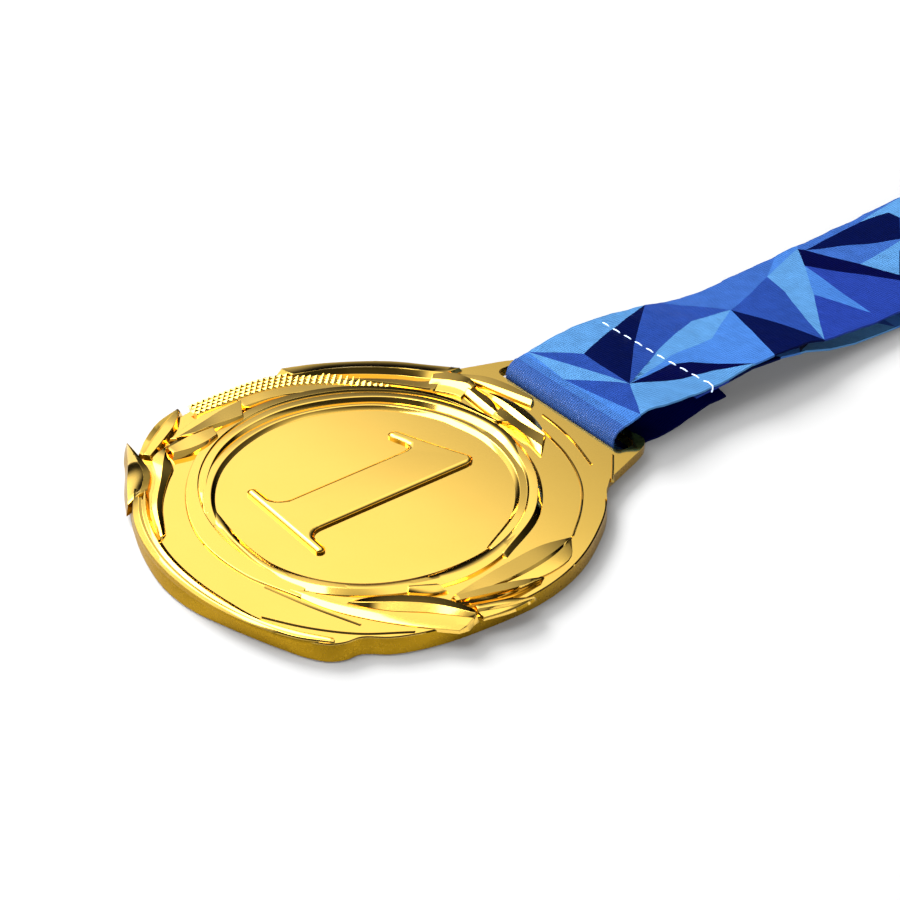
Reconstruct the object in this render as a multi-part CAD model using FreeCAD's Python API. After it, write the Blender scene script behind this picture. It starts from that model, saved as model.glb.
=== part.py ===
"""Prize medal on a sewn neck ribbon, as separate solids in one frame.

Units are millimetres.  The origin is the centre of the medal's flat back face,
+Z points out of the front, +Y points to the ribbon, +X to the right of the numeral.
"""

import FreeCAD
import Part

import math
import os

V = FreeCAD.Vector

# ---- driving dimensions -------------------------------------------------------
FIELD_R = 21.5           # radius of the smooth middle field
DISC_R = 32.7            # radius of the medal's round body
FIELD_Z = 2.5            # height of the middle field above the back face
BORDER_Z = 2.9           # height of the plain band round the field
RELIEF_Z = 3.7           # highest relief
SHOULDER_CENTRE = (0.3, 1.4)   # the disc bulges towards the hanger
RIBBON_W = 25.0          # ribbon width, a stock size
RIBBON_T = 0.4           # ribbon thickness
RIBBON_PANELS = 10       # layers in the put-away part of the neck ribbon
PANEL_L = 62.0           # length of one of those layers

# ---- hanger at the top of the medal --------------------------------------------
SLOT_W = RIBBON_W + 3.8                  # the slot is a little wider than the ribbon
SLOT_H = 3.9
SLOT_LOW_Y = FIELD_R + 14.0
BAR_H = 1.8
BAR_Z0 = 0.9                             # the ribbon passes between bar and table
BAR_Z1 = FIELD_Z
BAR_ROUND = 0.5
BAR_Y = SLOT_LOW_Y + SLOT_H + BAR_H / 2  # bar centre line
BAR_Z = (BAR_Z0 + BAR_Z1) / 2
HANGER_TOP_Y = BAR_Y + BAR_H / 2

# ---- ribbon path ------------------------------------------------------------------
BEND_R = 2.25                            # centre line radius of the fold at the slot
FOLD_GAP = 0.55                          # from the fold to the slot's low edge
BEND_Y = SLOT_LOW_Y + FOLD_GAP + RIBBON_T / 2 + BEND_R
BEND_Z = BEND_R + RIBBON_T / 2
LAP_Z = 5.4                              # front layer at the seam
LAYER_STEP = RIBBON_T + 0.1              # sewn layers lie this far apart
SEAM_Y = BAR_Y + 15.7
LAP_END_Y = SEAM_Y + 5.4
FLEX_GAP = 0.6                           # from the flex line to each cut end
FLEX_Y = LAP_END_Y + FLEX_GAP
FLEX_Z = LAP_Z - LAYER_STEP / 2
STACK_Y = FLEX_Y + 74.0                  # where the put-away layers begin
STACK_TOP_Z = 6.65
FLOOR_LAYER_Z = RIBBON_T / 2

# ---- seam thread --------------------------------------------------------------------
STITCHES = 9
STITCH_PITCH = 2.5
STITCH_L = 1.25
THREAD_R = 0.11
HOLE_R = 0.16


def polar(radius, degrees, centre=(0.0, 0.0)):
    """Point at a radius and angle about a centre, as (x, y)."""
    turn = math.radians(degrees)
    return centre[0] + radius * math.cos(turn), centre[1] + radius * math.sin(turn)


def prism(points, z0, z1):
    """Straight prism over a closed outline of (x, y) points."""
    ring = [V(x, y, z0) for x, y in points]
    face = Part.Face(Part.makePolygon(ring + ring[:1]))
    return face.extrude(V(0, 0, z1 - z0))


def tapered(points, z0, z1, inset):
    """Prism whose top outline is drawn in by `inset`, for bevelled relief."""
    low = [V(x, y, z0) for x, y in points]
    outline = Part.makePolygon(low + low[:1])
    top = outline.makeOffset2D(-inset, 2)
    top.translate(V(0, 0, z1 - z0))
    return Part.makeLoft([outline, top], True, True)


def spun(profile, centre, start, end):
    """Turn an (r, z) profile about a vertical axis from one angle to another."""
    ring = [V(centre[0] + r, centre[1], z) for r, z in profile]
    face = Part.Face(Part.makePolygon(ring + ring[:1]))
    axis_point = V(centre[0], centre[1], 0)
    face.rotate(axis_point, V(0, 0, 1), start)
    return face.revolve(axis_point, V(0, 0, 1), end - start)


def band(r_in, r_out, z_top, start=0.0, end=360.0, bevel=0.3, centre=(0.0, 0.0)):
    """Raised band along an arc, with bevelled shoulders, rooted in the body."""
    root = FIELD_Z - 0.8
    profile = [(r_in, root), (r_out, root), (r_out, z_top - bevel),
               (r_out - bevel, z_top), (r_in + bevel, z_top), (r_in, z_top - bevel)]
    return spun(profile, centre, start, end)


def leaf(base, tip, width, z_edge, z_ridge, blunt=0.0, lean=0.0):
    """Pointed laurel leaf: a lens outline with two facets that meet in a ridge.

    `blunt` is the share of the width left at the tip, `lean` moves the ridge sideways.
    """
    along = V(tip[0] - base[0], tip[1] - base[1], 0)
    side = V(-along.y, along.x, 0).normalize()
    root_z = FIELD_Z - 0.8
    stations = (0.0, 0.25, 0.5, 0.78, 1.0)
    left, right, ridge = [], [], []
    for t in stations:
        swell = math.sin(math.pi * min(t, 0.5 + (t - 0.5) * (1 - blunt)))
        half = width / 2 * max(swell, 0.06)
        middle = V(base[0], base[1], 0) + along * t
        left.append(middle + side * half + V(0, 0, z_edge))
        right.append(middle - side * half + V(0, 0, z_edge))
        ridge.append(middle + side * half * lean + V(0, 0, z_edge + (z_ridge - z_edge) * max(swell, 0.3)))
    outline = [V(p.x, p.y, root_z) for p in left + right[::-1]]
    faces = [Part.Face(Part.makePolygon(outline + outline[:1]))]

    def triangle(a, b, c):
        faces.append(Part.Face(Part.makePolygon([a, b, c, a])))

    upper = left + right[::-1]
    for i, top in enumerate(upper):
        after = (i + 1) % len(upper)
        faces.append(Part.Face(Part.makePolygon(
            [outline[i], outline[after], upper[after], top, outline[i]])))
    for edge in (left, right):
        for i in range(len(stations) - 1):
            triangle(edge[i], edge[i + 1], ridge[i + 1])
            triangle(edge[i], ridge[i + 1], ridge[i])
    triangle(left[0], right[0], ridge[0])
    triangle(left[-1], right[-1], ridge[-1])
    solid = Part.Solid(Part.Shell(faces))
    if solid.Volume < 0:
        solid.reverse()
    return solid


def hanger_blank():
    """Flat tab that carries the slot, before the slot is cut."""
    half_top = SLOT_W / 2 + 0.6
    half_shoulder = SLOT_W / 2 + 2.1
    half_root = SLOT_W / 2 + 5.2
    outline = [(-half_root, SLOT_LOW_Y - 6.0), (-half_root - 6.0, SLOT_LOW_Y - 12.0),
               (half_root + 6.0, SLOT_LOW_Y - 12.0), (half_root, SLOT_LOW_Y - 6.0),
               (half_shoulder, SLOT_LOW_Y + 3.2), (half_top, HANGER_TOP_Y),
               (-half_top, HANGER_TOP_Y), (-half_shoulder, SLOT_LOW_Y + 3.2)]
    return prism(outline, BAR_Z0, BAR_Z1)


def slot_cutter():
    """Slot with round inner corners, cut through the hanger."""
    box = Part.makeBox(SLOT_W, SLOT_H, 6.0, V(-SLOT_W / 2, SLOT_LOW_Y, -1.0))
    upright = [e for e in box.Edges if abs(e.Vertexes[0].X - e.Vertexes[1].X) < 1e-6
               and abs(e.Vertexes[0].Y - e.Vertexes[1].Y) < 1e-6]
    return box.makeFillet(1.0, upright)


def bar_trimmer():
    """What is cut away to leave the bar with rounded long edges."""
    length = SLOT_W - 2.0
    y0, y1 = SLOT_LOW_Y + SLOT_H, HANGER_TOP_Y
    block = Part.makeBox(length, BAR_H + 2, BAR_Z1 - BAR_Z0 + 2,
                         V(-length / 2, y0 - 1, BAR_Z0 - 1))
    bar = Part.makeBox(length, BAR_H, BAR_Z1 - BAR_Z0, V(-length / 2, y0, BAR_Z0))
    long_edges = [e for e in bar.Edges if abs(e.Vertexes[0].X - e.Vertexes[1].X) > 1.0]
    return block.cut(bar.makeFillet(BAR_ROUND, long_edges))


def numeral():
    """Plain upright figure one, raised from the field with bevelled sides."""
    foot_y = -0.66 * FIELD_R
    serif_y = foot_y + 1.7
    left, right = -0.20 * FIELD_R, 0.165 * FIELD_R
    bracket = 2.2
    outline = [(-0.45 * FIELD_R, foot_y), (0.40 * FIELD_R, foot_y), (0.40 * FIELD_R, serif_y)]
    for step in range(1, 5):
        turn = math.radians(90 * step / 4)
        outline.append((right + bracket * (1 - math.sin(turn)), serif_y + bracket * (1 - math.cos(turn))))
    outline += [(right, 0.80 * FIELD_R), (0.12 * FIELD_R, 0.80 * FIELD_R),
                (-0.45 * FIELD_R, 0.55 * FIELD_R), (-0.42 * FIELD_R, 0.49 * FIELD_R),
                (-0.27 * FIELD_R, 0.54 * FIELD_R), (left, 0.50 * FIELD_R)]
    for step in range(4, 0, -1):
        turn = math.radians(90 * step / 4)
        outline.append((left - bracket * (1 - math.sin(turn)), serif_y + bracket * (1 - math.cos(turn))))
    outline.append((-0.45 * FIELD_R, serif_y))
    return tapered(outline, FIELD_Z - 0.3, FIELD_Z + 0.6, 0.45)


# name: (base, tip, width, edge height, ridge height, blunt, lean)
LEFT_SPRAY = [
    ((-27.0, -21.5), (-34.0, -11.2), 3.6, 2.7, 3.5, 0.0, 0.0),
    ((-27.4, -14.5), (-30.6, -2.0), 4.2, 2.9, 3.7, 0.45, 0.2),
    ((-24.5, -18.4), (-26.2, -8.8), 3.6, 2.9, 3.7, 0.45, 0.2),
    ((-17.5, -25.4), (-25.6, -17.2), 4.0, 2.9, 3.7, 0.1, 0.0),
    ((-18.2, -27.2), (-30.0, -22.2), 3.4, 2.4, 3.3, 0.0, 0.0),
]
TOP_SPRAY = [
    ((-15.8, 29.6), (-2.6, 33.0), 3.4, 2.6, 3.6, 0.35, -0.2),
    ((-10.5, 29.6), (4.6, 28.8), 3.0, 2.7, 3.5, 0.35, 0.2),
    ((-14.5, 28.2), (-3.4, 26.2), 3.0, 2.8, 3.7, 0.45, 0.2),
    ((-5.0, 27.2), (7.6, 26.2), 3.0, 2.7, 3.5, 0.35, 0.0),
]
RIGHT_SPRAY = [
    ((27.3, -5.6), (27.0, 14.8), 4.4, 2.8, 3.5, 0.0, 0.2),
    ((27.8, -5.8), (31.2, 5.9), 2.8, 2.8, 3.5, 0.0, 0.0),
    ((29.4, -6.0), (32.0, 2.2), 2.4, 2.6, 3.3, 0.1, 0.0),
    ((20.0, -17.0), (31.3, -6.2), 3.6, 2.9, 3.7, 0.4, 0.0),
    ((22.0, -9.2), (25.4, -5.6), 2.2, 2.9, 3.5, 0.5, 0.0),
    ((20.5, -18.8), (31.0, -9.4), 2.8, 2.8, 3.3, 0.3, 0.0),
]


def medal_body():
    """Cast medal: disc, bands, laurel, numeral and slotted hanger in one solid."""
    disc_profile = [(0, 0), (DISC_R - 0.4, 0), (DISC_R, 0.4), (DISC_R, BORDER_Z - 0.7),
                    (DISC_R - 0.7, BORDER_Z), (FIELD_R + 0.2, BORDER_Z), (FIELD_R, FIELD_Z),
                    (0, FIELD_Z)]
    body = spun(disc_profile, (0, 0), 0, 360)
    shoulder_profile = [(FIELD_R + 3.0, 0), (DISC_R - 0.2, 0), (DISC_R + 0.2, 0.4),
                        (DISC_R + 0.2, BORDER_Z - 0.9), (DISC_R - 0.7, BORDER_Z), (FIELD_R + 3.0, BORDER_Z)]
    flange_profile = [(FIELD_R + 5.0, 0), (DISC_R + 0.9, 0), (DISC_R + 1.3, 0.4),
                      (DISC_R + 1.3, BORDER_Z - 0.2), (FIELD_R + 5.0, BORDER_Z - 0.2)]
    body = body.fuse([spun(shoulder_profile, SHOULDER_CENTRE, 0, 360),
                      spun(flange_profile, (0, 0), 124, 221), hanger_blank()])
    relief = [
        band(FIELD_R + 0.1, FIELD_R + 1.2, BORDER_Z + 0.35),
        band(FIELD_R + 2.6, FIELD_R + 3.9, BORDER_Z + 0.3, centre=(0.25, -0.3)),
        band(29.2, 29.6, BORDER_Z + 0.15, 32, 80, bevel=0.1),
        band(30.0, DISC_R - 0.2, RELIEF_Z - 0.3, 228, 318, bevel=0.9),
        band(31.0, DISC_R + 1.3, RELIEF_Z - 0.2, 142, 196, bevel=0.5),
        band(DISC_R - 1.0, DISC_R + 1.4, RELIEF_Z, 122, 164, bevel=0.7),
        band(27.8, DISC_R - 0.6, BORDER_Z + 0.2, 112, 150, bevel=0.2),
    ]
    for spray in (LEFT_SPRAY, TOP_SPRAY, RIGHT_SPRAY):
        relief += [leaf(*values) for values in spray]
    relief.append(sickle_tip())
    relief.append(numeral())
    body = body.multiFuse(relief)
    body = body.cut(slot_cutter()).cut(bar_trimmer())
    return body.removeSplitter()


def sickle_tip():
    """Blunt end of the outer crescent, standing a little proud of the disc."""
    inner = polar(29.6, 312)
    heel = polar(DISC_R - 0.3, 306)
    nose = polar(DISC_R + 2.0, 315.5)
    shoulder = polar(DISC_R + 0.2, 319)
    return prism([heel, nose, shoulder, inner], 0.4, BORDER_Z + 0.2)


def line(start, end):
    """Straight run of centre line, as two (point, direction) samples."""
    along = V(0, end[0] - start[0], end[1] - start[1]).normalize()
    return [(V(0, *start), along), (V(0, *end), along)]


def arc(centre, radius, start, end, count=9):
    """Round bend of centre line between two angles, in the y-z plane."""
    samples = []
    sense = 1 if end > start else -1
    for i in range(count):
        turn = math.radians(start + (end - start) * i / (count - 1))
        point = V(0, centre[0] + radius * math.cos(turn), centre[1] + radius * math.sin(turn))
        samples.append((point, V(0, -math.sin(turn), math.cos(turn)) * sense))
    return samples


def curve(points, first, last, count=17):
    """Smooth run of centre line through (y, z) points with level or given ends."""
    spline = Part.BSplineCurve()
    spline.interpolate(Points=[V(0, *p) for p in points],
                       InitialTangent=V(0, *first) * 8, FinalTangent=V(0, *last) * 8)
    samples = []
    for i in range(count):
        value = spline.FirstParameter + (spline.LastParameter - spline.FirstParameter) * i / (count - 1)
        along = spline.tangent(value)[0]
        samples.append((spline.value(value), along))
    return samples


def edge_through(points):
    """A line through two points, or a smooth edge through more."""
    if len(points) == 2:
        return Part.makeLine(points[0], points[1])
    spline = Part.BSplineCurve()
    spline.interpolate(points)
    return spline.toShape()


def strip(runs):
    """Ribbon solid of even thickness along connected runs of centre line."""
    sides = ([], [])
    for run in runs:
        for side, sign in zip(sides, (1, -1)):
            offset = [p + V(0, -t.z, t.y) * (sign * RIBBON_T / 2) for p, t in run]
            if side:
                offset[0] = side[-1][-1]
            side.append(offset)
    edges = [edge_through(points) for side in sides for points in side]
    for end in (0, -1):
        edges.append(Part.makeLine(sides[0][end][end], sides[1][end][end]))
    outline = Part.Wire(Part.__sortEdges__(edges))
    face = Part.Face(outline)
    face.translate(V(-RIBBON_W / 2, 0, 0))
    return face.extrude(V(RIBBON_W, 0, 0))


def hole_places():
    """X of every needle hole along the seam."""
    first = -STITCHES * STITCH_PITCH / 2 + STITCH_L / 2
    return [first + i * STITCH_L for i in range(2 * STITCHES)]


def pierced(shape):
    """Ribbon layers with the needle holes of the seam through them."""
    holes = [Part.makeCylinder(HOLE_R, 4, V(x, SEAM_Y, LAP_Z - 3)) for x in hole_places()]
    return shape.cut(Part.makeCompound(holes))


def ribbon_bar_loop():
    """End of the ribbon: in through the slot, round the bar and back to the seam."""
    tail_z = LAP_Z - 2 * LAYER_STEP
    under_bar = BAR_Y + 2.4
    lap_y = SEAM_Y - 3.6
    runs = [
        line((LAP_END_Y, tail_z), (SEAM_Y - 1.2, tail_z)),
        curve([(SEAM_Y - 1.2, tail_z), (SEAM_Y - 5.0, tail_z - 1.3),
               (BAR_Y + 6.0, 0.8), (under_bar, FLOOR_LAYER_Z)], (-1, 0), (-1, 0)),
        line((under_bar, FLOOR_LAYER_Z), (BEND_Y, FLOOR_LAYER_Z)),
        arc((BEND_Y, BEND_Z), BEND_R, 270, 90),
        curve([(BEND_Y, BEND_Z + BEND_R), (BAR_Y + 3.0, LAP_Z + 0.25),
               (BAR_Y + 9.0, LAP_Z + 0.45), (lap_y, LAP_Z)], (1, 0.1), (1, 0)),
        line((lap_y, LAP_Z), (LAP_END_Y, LAP_Z)),
    ]
    return pierced(strip(runs))


def ribbon_far_end():
    """Other end of the same ribbon, caught between the two layers at the seam."""
    z = LAP_Z - LAYER_STEP
    return pierced(strip([line((SEAM_Y - 3.0, z), (LAP_END_Y, z))]))


def ribbon_neck_loop():
    """Neck part of the ribbon: front leg, folded layers, rear leg back to the seam."""
    start_y = FLEX_Y + FLEX_GAP
    rear_z = LAP_Z - LAYER_STEP
    lead_in = STACK_Y - 3.0
    step = (STACK_TOP_Z - FLOOR_LAYER_Z) / (RIBBON_PANELS - 1)
    runs = [
        line((start_y, LAP_Z), (start_y + 1.0, LAP_Z)),
        curve([(start_y + 1.0, LAP_Z), (start_y + 9.4, 4.75), (start_y + 18.0, 4.1),
               (start_y + 30.0, 3.85), (start_y + 40.0, 4.0), (start_y + 56.0, 5.2),
               (lead_in, STACK_TOP_Z)], (1, 0), (1, 0), 33),
    ]
    near = lead_in
    for i in range(RIBBON_PANELS):
        z = STACK_TOP_Z - i * step
        far = STACK_Y + PANEL_L
        last = i == RIBBON_PANELS - 1
        if i % 2 == 0:
            runs.append(line((near, z), (far, z)))
            runs.append(arc((far, z - step / 2), step / 2, 90, -90))
        else:
            near = STACK_Y
            runs.append(line((far, z), (start_y + 42.0 if last else near, z)))
            if not last:
                runs.append(arc((near, z - step / 2), step / 2, 90, 270))
    runs += [
        curve([(start_y + 42.0, FLOOR_LAYER_Z), (start_y + 32.0, 0.6), (start_y + 20.0, 2.0),
               (start_y + 9.0, 3.9), (start_y + 1.0, rear_z)], (-1, 0), (-1, 0), 25),
        line((start_y + 1.0, rear_z), (start_y, rear_z)),
    ]
    return strip(runs)


def seam_thread():
    """One running stitch across the ribbon, through all three layers."""
    top = LAP_Z + RIBBON_T / 2 + THREAD_R
    bottom = LAP_Z - 2 * LAYER_STEP - RIBBON_T / 2 - THREAD_R
    places = hole_places()
    pieces = []
    for i, x in enumerate(places):
        pieces.append(Part.makeCylinder(THREAD_R * 0.85, top - bottom, V(x, SEAM_Y, bottom)))
        if i + 1 < len(places):
            z = top if i % 2 == 0 else bottom
            start = V(x, SEAM_Y, z)
            pieces.append(Part.makeCylinder(THREAD_R, STITCH_L, start, V(1, 0, 0)))
            pieces.append(Part.makeSphere(THREAD_R, start))
            pieces.append(Part.makeSphere(THREAD_R, start + V(STITCH_L, 0, 0)))
    return pieces[0].multiFuse(pieces[1:])


NODES = {
    "medal_body": medal_body,
    "ribbon_bar_loop": ribbon_bar_loop,
    "ribbon_far_end": ribbon_far_end,
    "ribbon_neck_loop": ribbon_neck_loop,
    "seam_thread": seam_thread,
}


def main():
    """Build every node and write it as STEP."""
    os.makedirs("parts", exist_ok=True)
    for name, build in NODES.items():
        shape = build()
        box = shape.BoundBox
        print(name, "solids", len(shape.Solids), "valid", shape.isValid(), "volume", round(shape.Volume, 1),
              "box", [round(v, 2) for v in (box.XMin, box.XMax, box.YMin, box.YMax, box.ZMin, box.ZMax)])
        shape.exportStep("parts/" + name + ".step")


main()
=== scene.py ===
"""Prize medal on a printed neck ribbon: the finished look, built round the CAD frame.

Sizes in the classes are millimetres in the medal's own frame: the origin is the centre of
its flat back, +Z points out of its front, +Y to the ribbon and +X to the right of the numeral.
Heights called "over the field" are measured from the smooth middle field.
"""

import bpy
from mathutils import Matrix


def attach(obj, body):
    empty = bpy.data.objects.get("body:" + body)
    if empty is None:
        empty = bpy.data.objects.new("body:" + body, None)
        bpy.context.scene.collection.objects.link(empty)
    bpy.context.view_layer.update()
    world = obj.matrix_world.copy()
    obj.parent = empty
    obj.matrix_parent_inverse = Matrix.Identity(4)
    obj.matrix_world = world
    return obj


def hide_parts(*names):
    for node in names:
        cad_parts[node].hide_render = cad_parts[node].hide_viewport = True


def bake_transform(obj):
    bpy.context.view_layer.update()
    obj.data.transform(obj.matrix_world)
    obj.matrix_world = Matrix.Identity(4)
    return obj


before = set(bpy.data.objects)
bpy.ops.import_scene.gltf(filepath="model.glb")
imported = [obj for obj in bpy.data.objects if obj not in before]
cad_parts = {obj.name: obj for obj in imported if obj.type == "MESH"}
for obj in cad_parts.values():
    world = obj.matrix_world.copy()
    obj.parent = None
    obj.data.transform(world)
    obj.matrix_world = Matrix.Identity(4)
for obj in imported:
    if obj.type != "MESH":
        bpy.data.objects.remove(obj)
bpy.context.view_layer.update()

import logging
import math
from dataclasses import dataclass, field
from enum import Enum
from typing import Sequence

import bmesh
import bpy
import numpy as np
from mathutils import Vector

MM = 0.001
WAVE_UNIT = 0.314  # width of one band of a wave texture at scale 1
FIELD_Z = 2.5
LOG = logging.getLogger("medal")

Point = tuple[float, float, float]
Rail = Sequence[Point]


class Finish(Enum):
    """The three real materials of the object."""

    GOLD = "gold_plate"
    RIBBON = "ribbon"
    THREAD = "thread"


# ---------------------------------------------------------------- small helpers


def linear(code: str) -> tuple[float, float, float, float]:
    """Turns an sRGB hex colour into linear values.

    Args:
        code: six hex digits, with or without a leading '#'.

    Returns:
        Red, green, blue and alpha, each linear.
    """
    digits = code.lstrip("#")
    shades = [int(digits[i:i + 2], 16) / 255.0 for i in (0, 2, 4)]
    out = [s / 12.92 if s <= 0.04045 else ((s + 0.055) / 1.055) ** 2.4 for s in shades]
    return (out[0], out[1], out[2], 1.0)


def clear_selection() -> None:
    """Leaves edit mode and deselects everything."""
    if bpy.context.object and bpy.context.object.mode != "OBJECT":
        bpy.ops.object.mode_set(mode="OBJECT")
    bpy.ops.object.select_all(action="DESELECT")


def pick(*things: bpy.types.Object) -> None:
    """Selects only these objects and makes the first one active.

    Args:
        things: the objects to select.
    """
    clear_selection()
    for thing in things:
        thing.select_set(True)
    bpy.context.view_layer.objects.active = things[0]


def named(name: str) -> bpy.types.Object:
    """Names the object that an operator has just added, and its mesh.

    Args:
        name: the new name.

    Returns:
        The named object.
    """
    thing = bpy.context.object
    thing.name = name
    thing.data.name = name
    return thing


def modify(thing: bpy.types.Object, kind: str, **settings: object) -> None:
    """Adds one modifier with its settings and applies it.

    Args:
        thing: the object to change.
        kind: Blender's name for the modifier.
        settings: the modifier's properties by name.
    """
    pick(thing)
    modifier = thing.modifiers.new(kind.title(), kind)
    for key, value in settings.items():
        setattr(modifier, key, value)
    bpy.ops.object.modifier_apply(modifier=modifier.name)


def joined(name: str, parts: Sequence[bpy.types.Object]) -> bpy.types.Object:
    """Joins several objects into one and names it.

    Args:
        name: the new name.
        parts: the objects to join.

    Returns:
        The joined object.
    """
    pick(*parts)
    bpy.ops.object.join()
    return named(name)


def settle(thing: bpy.types.Object, sharp: float = 35.0) -> None:
    """Applies the object's place and shades it smooth up to an edge angle.

    Args:
        thing: the finished object.
        sharp: edges steeper than this many degrees stay crisp.
    """
    pick(thing)
    bpy.ops.object.transform_apply(location=True, rotation=True, scale=True)
    bpy.ops.object.shade_smooth_by_angle(angle=math.radians(sharp))
    modify(thing, "WEIGHTED_NORMAL", weight=60, keep_sharp=True)


def outward(thing: bpy.types.Object) -> None:
    """Merges doubled corners and turns every face outwards.

    Args:
        thing: the object to clean.
    """
    pick(thing)
    bpy.ops.object.mode_set(mode="EDIT")
    bpy.ops.mesh.select_all(action="SELECT")
    bpy.ops.mesh.remove_doubles(threshold=1e-6)
    bpy.ops.mesh.normals_make_consistent(inside=False)
    bpy.ops.object.mode_set(mode="OBJECT")


def through(points: Rail, count: int) -> np.ndarray:
    """Samples a smooth curve that passes through the given points.

    Args:
        points: the points, in order.
        count: how many samples to take, evenly along the curve's chords.

    Returns:
        An array of count rows.
    """
    knots = np.array(points, float)
    chord = np.linalg.norm(np.diff(knots, axis=0), axis=1)
    at = np.concatenate([[0.0], np.cumsum(chord)])
    slope = np.gradient(knots, at, axis=0, edge_order=1)
    want = np.linspace(0.0, at[-1], count)
    index = np.clip(np.searchsorted(at, want, side="right") - 1, 0, len(at) - 2)
    gap = (at[index + 1] - at[index])[:, None]
    t = ((want - at[index]) / gap[:, 0])[:, None]
    return ((2 * t**3 - 3 * t**2 + 1) * knots[index] + (t**3 - 2 * t**2 + t) * gap * slope[index]
            + (3 * t**2 - 2 * t**3) * knots[index + 1] + (t**3 - t**2) * gap * slope[index + 1])


def ring(*stations: Point) -> list[Point]:
    """Turns polar stations into points on the medal.

    Args:
        stations: (angle in degrees, radius, height over the field) for each point.

    Returns:
        The points as (x, y, height over the field).
    """
    return [(r * math.cos(math.radians(a)), r * math.sin(math.radians(a)), h)
            for a, r, h in stations]


def loft(name: str, rails: Sequence[Rail], base: float, count: int = 24,
         edge: float = 0.05, lean: float = 0.4) -> bpy.types.Object:
    """Makes a closed raised form whose top runs across a set of rails.

    Args:
        name: the form's name.
        rails: lines of (x, y, height over the field), side by side.
        base: height over the field at which the form's hidden underside lies.
        count: stations along the rails.
        edge: width of the small rounding on its crisp edges.
        lean: how far its side walls spread for each millimetre they go down.

    Returns:
        The new object.
    """
    lines = np.array([through(rail, count) for rail in rails])
    feet = lines.copy()
    for border, within in ((0, 1), (-1, -2)):
        for place in ((border, slice(None)), (slice(None), border)):
            inner = (within, slice(None)) if place[0] == border else (slice(None), within)
            away = lines[place][:, :2] - lines[inner][:, :2]
            away /= np.maximum(np.linalg.norm(away, axis=1, keepdims=True), 1e-6)
            feet[place][:, :2] += away * lean * np.maximum(lines[place][:, 2:] - base, 0.0)
    clear_selection()
    bpy.ops.mesh.primitive_grid_add(x_subdivisions=count - 1, y_subdivisions=len(rails) - 1,
                                    size=1.0)
    form = named(name)
    place_of = {}
    for vertex in form.data.vertices:
        along = round((vertex.co.x + 0.5) * (count - 1))
        across = round((vertex.co.y + 0.5) * (len(rails) - 1))
        x, y, height = lines[across, along]
        vertex.co = (x * MM, y * MM, (FIELD_Z + height) * MM)
        place_of[tuple(vertex.co)] = (across, along)
    bpy.ops.object.mode_set(mode="EDIT")
    bpy.ops.mesh.select_all(action="SELECT")
    bpy.ops.mesh.extrude_region_move()
    bpy.ops.object.mode_set(mode="OBJECT")
    for vertex in form.data.vertices:
        if vertex.select:
            x, y, _ = feet[place_of[tuple(vertex.co)]]
            vertex.co = (x * MM, y * MM, (FIELD_Z + base) * MM)
    outward(form)
    if edge:
        modify(form, "BEVEL", width=edge * MM, segments=2, limit_method="ANGLE",
               angle_limit=math.radians(22), use_clamp_overlap=True)
    return form


def stacked(name: str, levels: Sequence[np.ndarray]) -> bpy.types.Object:
    """Makes a closed form by drawing one outline up through several levels.

    Args:
        name: the form's name.
        levels: outlines from the lowest up, each an array of (x, y, height) in millimetres.

    Returns:
        The new object.
    """
    clear_selection()
    bpy.ops.mesh.primitive_circle_add(vertices=len(levels[0]), radius=1.0, fill_type="NGON")
    form = named(name)
    for vertex, corner in zip(form.data.vertices, levels[0]):
        vertex.co = corner * MM
        vertex.select = True
    for level in levels[1:]:
        place_of = {}
        for vertex in form.data.vertices:
            if vertex.select:
                place_of[tuple(vertex.co)] = len(place_of)
        bpy.ops.object.mode_set(mode="EDIT")
        bpy.ops.mesh.extrude_region_move()
        bpy.ops.object.mode_set(mode="OBJECT")
        index_of = {v.index: place_of[tuple(v.co)] for v in form.data.vertices if v.select}
        order = sorted(index_of, key=lambda at: index_of[at])
        for at, corner in zip(order, level):
            form.data.vertices[at].co = corner * MM
    outward(form)
    return form


def prism(name: str, outline: Sequence[tuple[float, float]], low: float,
          high: float) -> bpy.types.Object:
    """Makes a flat plate with the given outline.

    Args:
        name: the plate's name.
        outline: its corners as (x, y).
        low: height of its underside over the medal's back.
        high: height of its top over the medal's back.

    Returns:
        The new object.
    """
    flat = np.array(outline, float)
    return stacked(name, [np.hstack([flat, np.full((len(flat), 1), z)]) for z in (low, high)])


# ---------------------------------------------------------------- materials


def add_node(tree: bpy.types.NodeTree, kind: str, settings: dict | None = None,
             links: dict | None = None) -> bpy.types.Node:
    """Adds one node with its settings, values and links.

    Args:
        tree: the node tree.
        kind: the node's type name.
        settings: properties by name, and socket values by name or index.
        links: input socket by name or index, to the output socket that feeds it.

    Returns:
        The new node.
    """
    node = tree.nodes.new(kind)
    for key, value in (settings or {}).items():
        if isinstance(key, str) and hasattr(node, key):
            setattr(node, key, value)
        else:
            node.inputs[key].default_value = value
    for key, output in (links or {}).items():
        tree.links.new(output, node.inputs[key])
    return node


def blank(name: str) -> tuple[bpy.types.Material, bpy.types.NodeTree]:
    """Makes an empty node material.

    Args:
        name: the material's name.

    Returns:
        The material and its node tree.
    """
    material = bpy.data.materials.new(name)
    material.use_nodes = True
    material.node_tree.nodes.clear()
    return material, material.node_tree


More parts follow.
